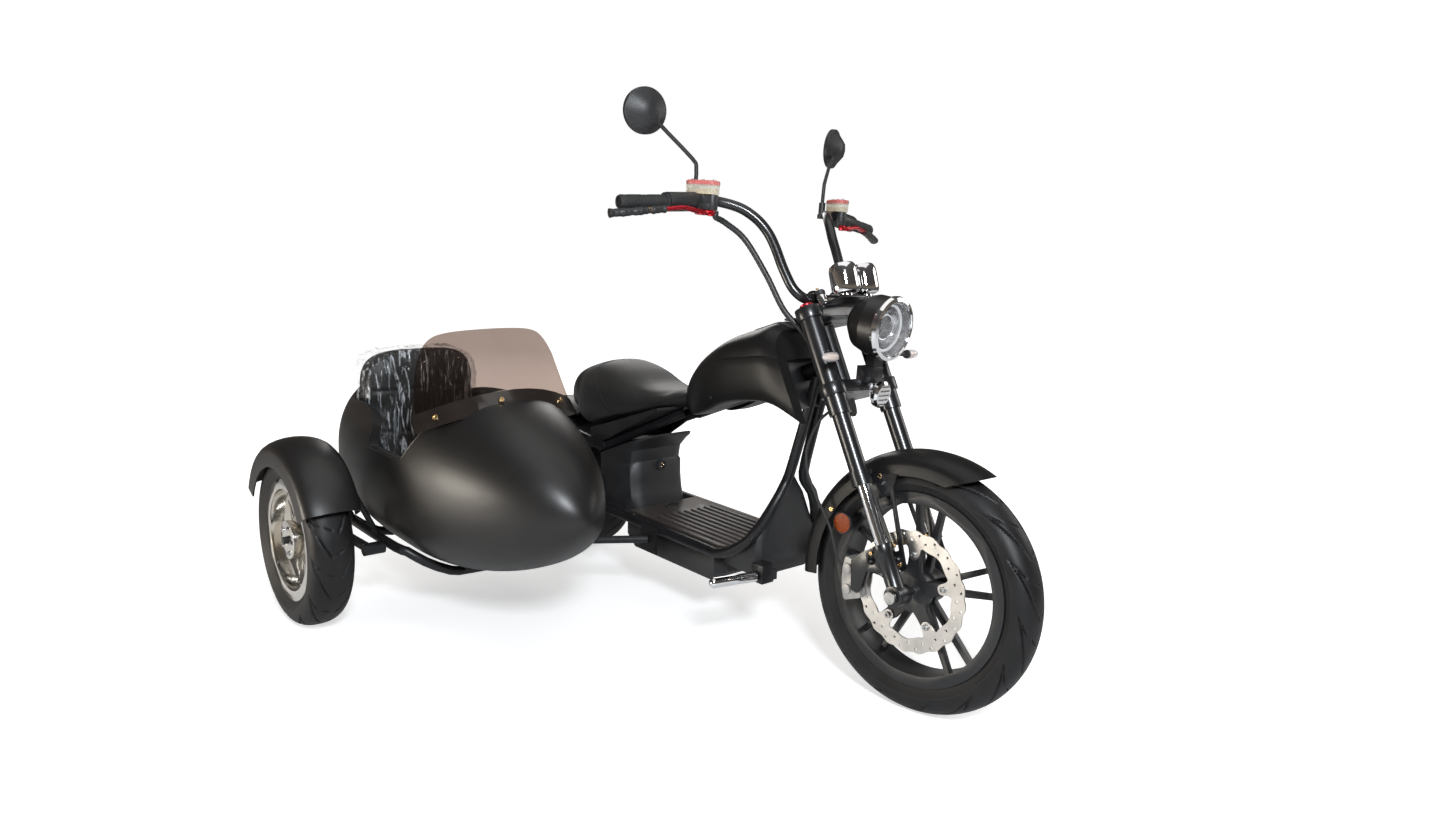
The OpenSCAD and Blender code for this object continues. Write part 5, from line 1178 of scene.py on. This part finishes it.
head = scratch(newMesh("boltHead", [(boltHead(), unturned)]))
boltTree, source, sink, boltIds = nodeTree("boltsOnPoints", Head="Object", Size=1.0)
headInfo = addNode(boltTree, "GeometryNodeObjectInfo", {"Object": source.outputs["Head"]})
axisField = addNode(boltTree, "GeometryNodeInputNamedAttribute", {"Name": "axis"}, data_type="FLOAT_VECTOR")
sizeField = addNode(boltTree, "GeometryNodeInputNamedAttribute", {"Name": "size"}, data_type="FLOAT")
aim = addNode(boltTree, "FunctionNodeAlignRotationToVector", {"Vector": axisField.outputs[0]}, axis="Z")
times = addNode(boltTree, "ShaderNodeMath", {0: sizeField.outputs[0], 1: source.outputs["Size"]}, operation="MULTIPLY")
onPoints = addNode(boltTree, "GeometryNodeInstanceOnPoints", {
    "Points": source.outputs[0], "Instance": headInfo.outputs["Geometry"], "Rotation": aim.outputs[0],
    "Scale": times.outputs[0]})
endTree(boltTree, onPoints.outputs[0], source, sink)


def addBolts(name, rows, finish, body, slot):  # rows: place matrix, point, axis, radius in millimetres
    mesh = bpy.data.meshes.new(name)
    mesh.from_pydata([tuple(place @ Vector(p)) for place, p, axis, r in rows], [], [])
    axes = mesh.attributes.new("axis", "FLOAT_VECTOR", "POINT")
    axes.data.foreach_set("vector", [c for place, p, axis, r in rows
                                     for c in (place.to_3x3() @ Vector(axis)).normalized()])
    sizes = mesh.attributes.new("size", "FLOAT", "POINT")
    sizes.data.foreach_set("value", [r / 1000 for place, p, axis, r in rows])
    mesh = grown(mesh, boltTree, boltIds, finish, Head=head, Size=1.0)
    return addPiece(name, mesh, finish, body, slot, (), 30, False)


def boltRing(place, r, z, count, size, first=0, up=1):
    return [(place @ turned(first, "Z"), (x, y, z), (0, 0, up), size) for x, y in circle(r, count)]


upward = (0, 0, 1)
steerBolts = []
for side in (-1, 1):
    steerBolts += [(place, (x, side * y, z), (0, side, 0), r) for place, x, y, z, r in (
        (steered, -104.8, 64.2, 548.4, 6.5), (steered, -234.7, 64.2, 439.8, 6), (forkFrame, 4, 68.5, 110, 7),
        (forkFrame, 5.4, 68.5, 66, 7))]
    steerBolts += [(forkFrame, (x, side * 45, 755), upward, 4) for x in (-22, 2)]
steerBolts += [(forkFrame, (-40, -99.4, 108), (0, -1, 0), 5)]
lidScrews = [(place, (x, 0, 33), upward, 3.2) for place in potPlaces for x in (-28, 0, 28)]


def bandPoint(q):
    return Vector((-904 - 96.5 * q * q, tubSizes["y"] + 236 * q, 655 - 62 * q * q))


def bandRow(q):
    alongBand = bandPoint(q + 0.01) - bandPoint(q - 0.01)
    out = alongBand.cross(Vector((-18, 0, 26))).normalized()
    return placed, bandPoint(q) + out * 0.6, out if out.x > 0 else -out, 7


bandBolts = [bandRow(q) for q in (-0.82, -0.18, 0.66)]
tankBolts = [(placed, (x, side * y, z), (0, side, 0), 4) for x, y, z in ((-634, 127, 660), (-372, 112, 690))
             for side in (-1, 1)]
discBolts = boltRing(frontWheel, discSizes["boltR"], discSizes["z"] + discSizes["thick"], 5, 7.5, discSizes["first"])
motorBolts = boltRing(rearWheel, 78, 70, 12, 5) + boltRing(rearWheel, 78, -70, 12, 5, up=-1)
for row in (("goldBoltsSteering", steerBolts, "goldZinc", "steering", "amber_fluid"),
            ("lidScrews", lidScrews, "greySteel", "steering", "grey_steel"),
            ("goldBoltsChassis", bandBolts, "goldZinc", "chassis", "amber_fluid"),
            ("tankBolts", tankBolts, "castBlack", "chassis", "black_plastic"),
            ("hubBolts", boltRing(sideWheel, 36, 46, 5, 6), "chrome", "sidecar_wheel", "chrome"),
            ("discBolts", discBolts, "greySteel", "front_wheel", "grey_steel"),
            ("motorBolts", motorBolts, "greySteel", "rear_wheel", "grey_steel")):
    addBolts(*row)
print("bolts set")

# stitches along the saddle's seams
stitchTree, source, sink, stitchIds = nodeTree("stitchesOnLine", Spacing=0.006, Length=0.004, Thread=0.0006)
line = addNode(stitchTree, "GeometryNodeMeshToCurve", {0: source.outputs[0]})
even = addNode(stitchTree, "GeometryNodeResampleCurve", {"Curve": line.outputs[0], "Length": source.outputs["Spacing"]},
               mode="LENGTH")
way = addNode(stitchTree, "GeometryNodeInputTangent")
aim = addNode(stitchTree, "FunctionNodeAlignRotationToVector", {"Vector": way.outputs[0]}, axis="Z")
thread = addNode(stitchTree, "GeometryNodeMeshCylinder", {"Vertices": 6, "Radius": source.outputs["Thread"],
                                                          "Depth": source.outputs["Length"]})
sewn = addNode(stitchTree, "GeometryNodeInstanceOnPoints", {"Points": even.outputs[0], "Rotation": aim.outputs[0],
                                                            "Instance": thread.outputs["Mesh"]})
endTree(stitchTree, sewn.outputs[0], source, sink)
stitchSizes = {"Spacing": 0.0075, "Length": 0.005, "Thread": 0.0006}


def seamLine(mesh, plane, offset, keep, count=150):  # points where a plane meets the pad, sorted round it
    point, normal = plane
    co = np.array([v.co for v in mesh.vertices])
    vn = np.array([v.normal for v in mesh.vertices])
    d = (co - point) @ normal - offset
    near = (np.abs(d) < 0.0022) & keep(co)
    co, vn = co[near], vn[near]
    middle = co.mean(axis=0)
    order = np.argsort(np.arctan2(co[:, 2] - middle[2] + 0.06, co[:, 1] - middle[1]))
    pick = order[np.linspace(0, len(order) - 1, min(count, len(order))).astype(int)]
    line = co[pick] + vn[pick] * 0.0003
    return [tuple(p) for p in 0.25 * np.roll(line, 1, 0)[1:-1] + 0.5 * line[1:-1] + 0.25 * np.roll(line, -1, 0)[1:-1]]


def aboveHem(p):
    return saddleHem(p) > 0.006


stitchMesh = bpy.data.meshes.new("saddleStitches")
points, edges = [], []
for offset in (-0.007, 0.007):
    seam = seamLine(saddle.data, (np.array(seamAt), seamNormal), offset, aboveHem)
    edges += [(len(points) + i, len(points) + i + 1) for i in range(len(seam) - 1)]
    points += seam
stitchMesh.from_pydata(points, edges, [])
stitchMesh = grown(stitchMesh, stitchTree, stitchIds, "softRubber", **stitchSizes)
addPiece("saddleStitches", stitchMesh, "softRubber", "chassis", "rubber", (), 40, False)
print("stitches sewn")

# rear shocks with coil springs
springTree, source, sink, springIds = nodeTree("coilSpring", Turns=8.0, Radius=0.02, Height=0.13, Wire=0.004)
coil = addNode(springTree, "GeometryNodeCurveSpiral", {
    "Resolution": 28, "Rotations": source.outputs["Turns"], "Start Radius": source.outputs["Radius"],
    "End Radius": source.outputs["Radius"], "Height": source.outputs["Height"]})
wire = addNode(springTree, "GeometryNodeCurvePrimitiveCircle", {"Resolution": 10, "Radius": source.outputs["Wire"]})
wound = addNode(springTree, "GeometryNodeCurveToMesh", {"Curve": coil.outputs[0], "Profile Curve": wire.outputs[0],
                                                        "Fill Caps": True})
endTree(springTree, wound.outputs[0], source, sink)
shockSizes = {"foot": (-1432, 152, 276), "top": (-1336, 152, 442), "coil": (40, 128)}
shockAxis = Vector(shockSizes["top"]) - Vector(shockSizes["foot"])
shockLength = shockAxis.length
shockPlace = Matrix.Translation(shockSizes["foot"]) @ shockAxis.to_track_quat("Z", "Y").to_matrix().to_4x4()
shockSides = [placed @ flip @ shockPlace for flip in flips]
bm = bmesh.new()
for place in shockSides:
    seed = newMesh("seed", [(lathe([(0, 0), (1, 0), (1, 1)], 3), unturned)])
    spring = grown(seed, springTree, springIds, "chrome", Turns=7.5, Radius=16.0, Height=float(shockSizes["coil"][1]),
                   Wire=3.6)
    spring.transform(place @ moved(0, 0, shockSizes["coil"][0]))
    bm.from_mesh(spring)
springs = bpy.data.meshes.new("shockSprings")
bm.to_mesh(springs)
bm.free()
addPiece("shockSprings", springs, "chrome", "chassis", "chrome", (), 60)
damper = [(0, -11), (9, -11), (11, -6), (11, 8), (8, 14), (8, 30), (20, 33), (20, 39), (12, 41), (12, 120), (5, 122)]
damper += [(r, shockLength + z) for r, z in ((5, -30), (20, -27), (20, -20), (11, -16), (11, 0), (9, 8), (0, 8))]
makePiece("shockDampers", lathed(damper, 32, shockSides), "frameBlack", "chassis", "frame_black", ("rear_shocks",))
print("shocks fitted")

# small fittings
ribSizes = {"count": 9, "pitch": 25, "size": (322, 10.5, 1.0), "x": -722, "z": 268.4}
ribs = [(block(ribSizes["size"], (ribSizes["x"], (k - (ribSizes["count"] - 1) / 2) * ribSizes["pitch"], ribSizes["z"]),
               0.4), placed) for k in range(ribSizes["count"])]
handleLine = ((-950, -22, 264), (-950, -22, 271), (-950, -16, 275), (-950, 16, 275), (-950, 22, 271), (-950, 22, 264))
portFrame = placed @ moved(-1012, 6, 380) @ turned(90, "Y")
pinPlaces = [portFrame @ turned(a, "Z") @ moved(6, 0, 0) for a in (90, 210, 330)]
makePieces("chassis", (
    ("ribTops", ribs, "ribRubber", slotOf["floorboard"]),
    ("hatchHandle", [(tube(spline(handleLine, 5), 3.2, 10), placed)], "blackPlastic", "black_plastic"),
    ("portPlate", lathed([(0, -3), (12.6, -3), (12.6, -1), (0, -1)], 6, [portFrame]), "blackPlastic", "black_plastic"),
    ("portPins", lathed([(0, -1.5), (2, -1.5), (2, 2.5), (1.2, 3.2), (0, 3.2)], 12, pinPlaces), "goldZinc",
     "amber_fluid")))
reflectorAt = [steered @ moved(-196, -68, 415) @ turned(90, "X")]
makePieces("steering", (
    ("sideReflector", lathed([(0, 6.4), (24, 4.6), (24, 0), (0, 0)], 12, reflectorAt), "amberReflector", "amber_fluid"),
    ("reflectorStrap", [(block((16, 42, 2.4), (-17, 0, -2), 0.7), reflectorAt[0])]
     + lathed([(24, 0), (27, 0), (27, 4), (26, 5.4), (24, 5)], 48, reflectorAt, True), "frameBlack", "frame_black")))
print("fittings set")

bpy.data.objects.remove(head)
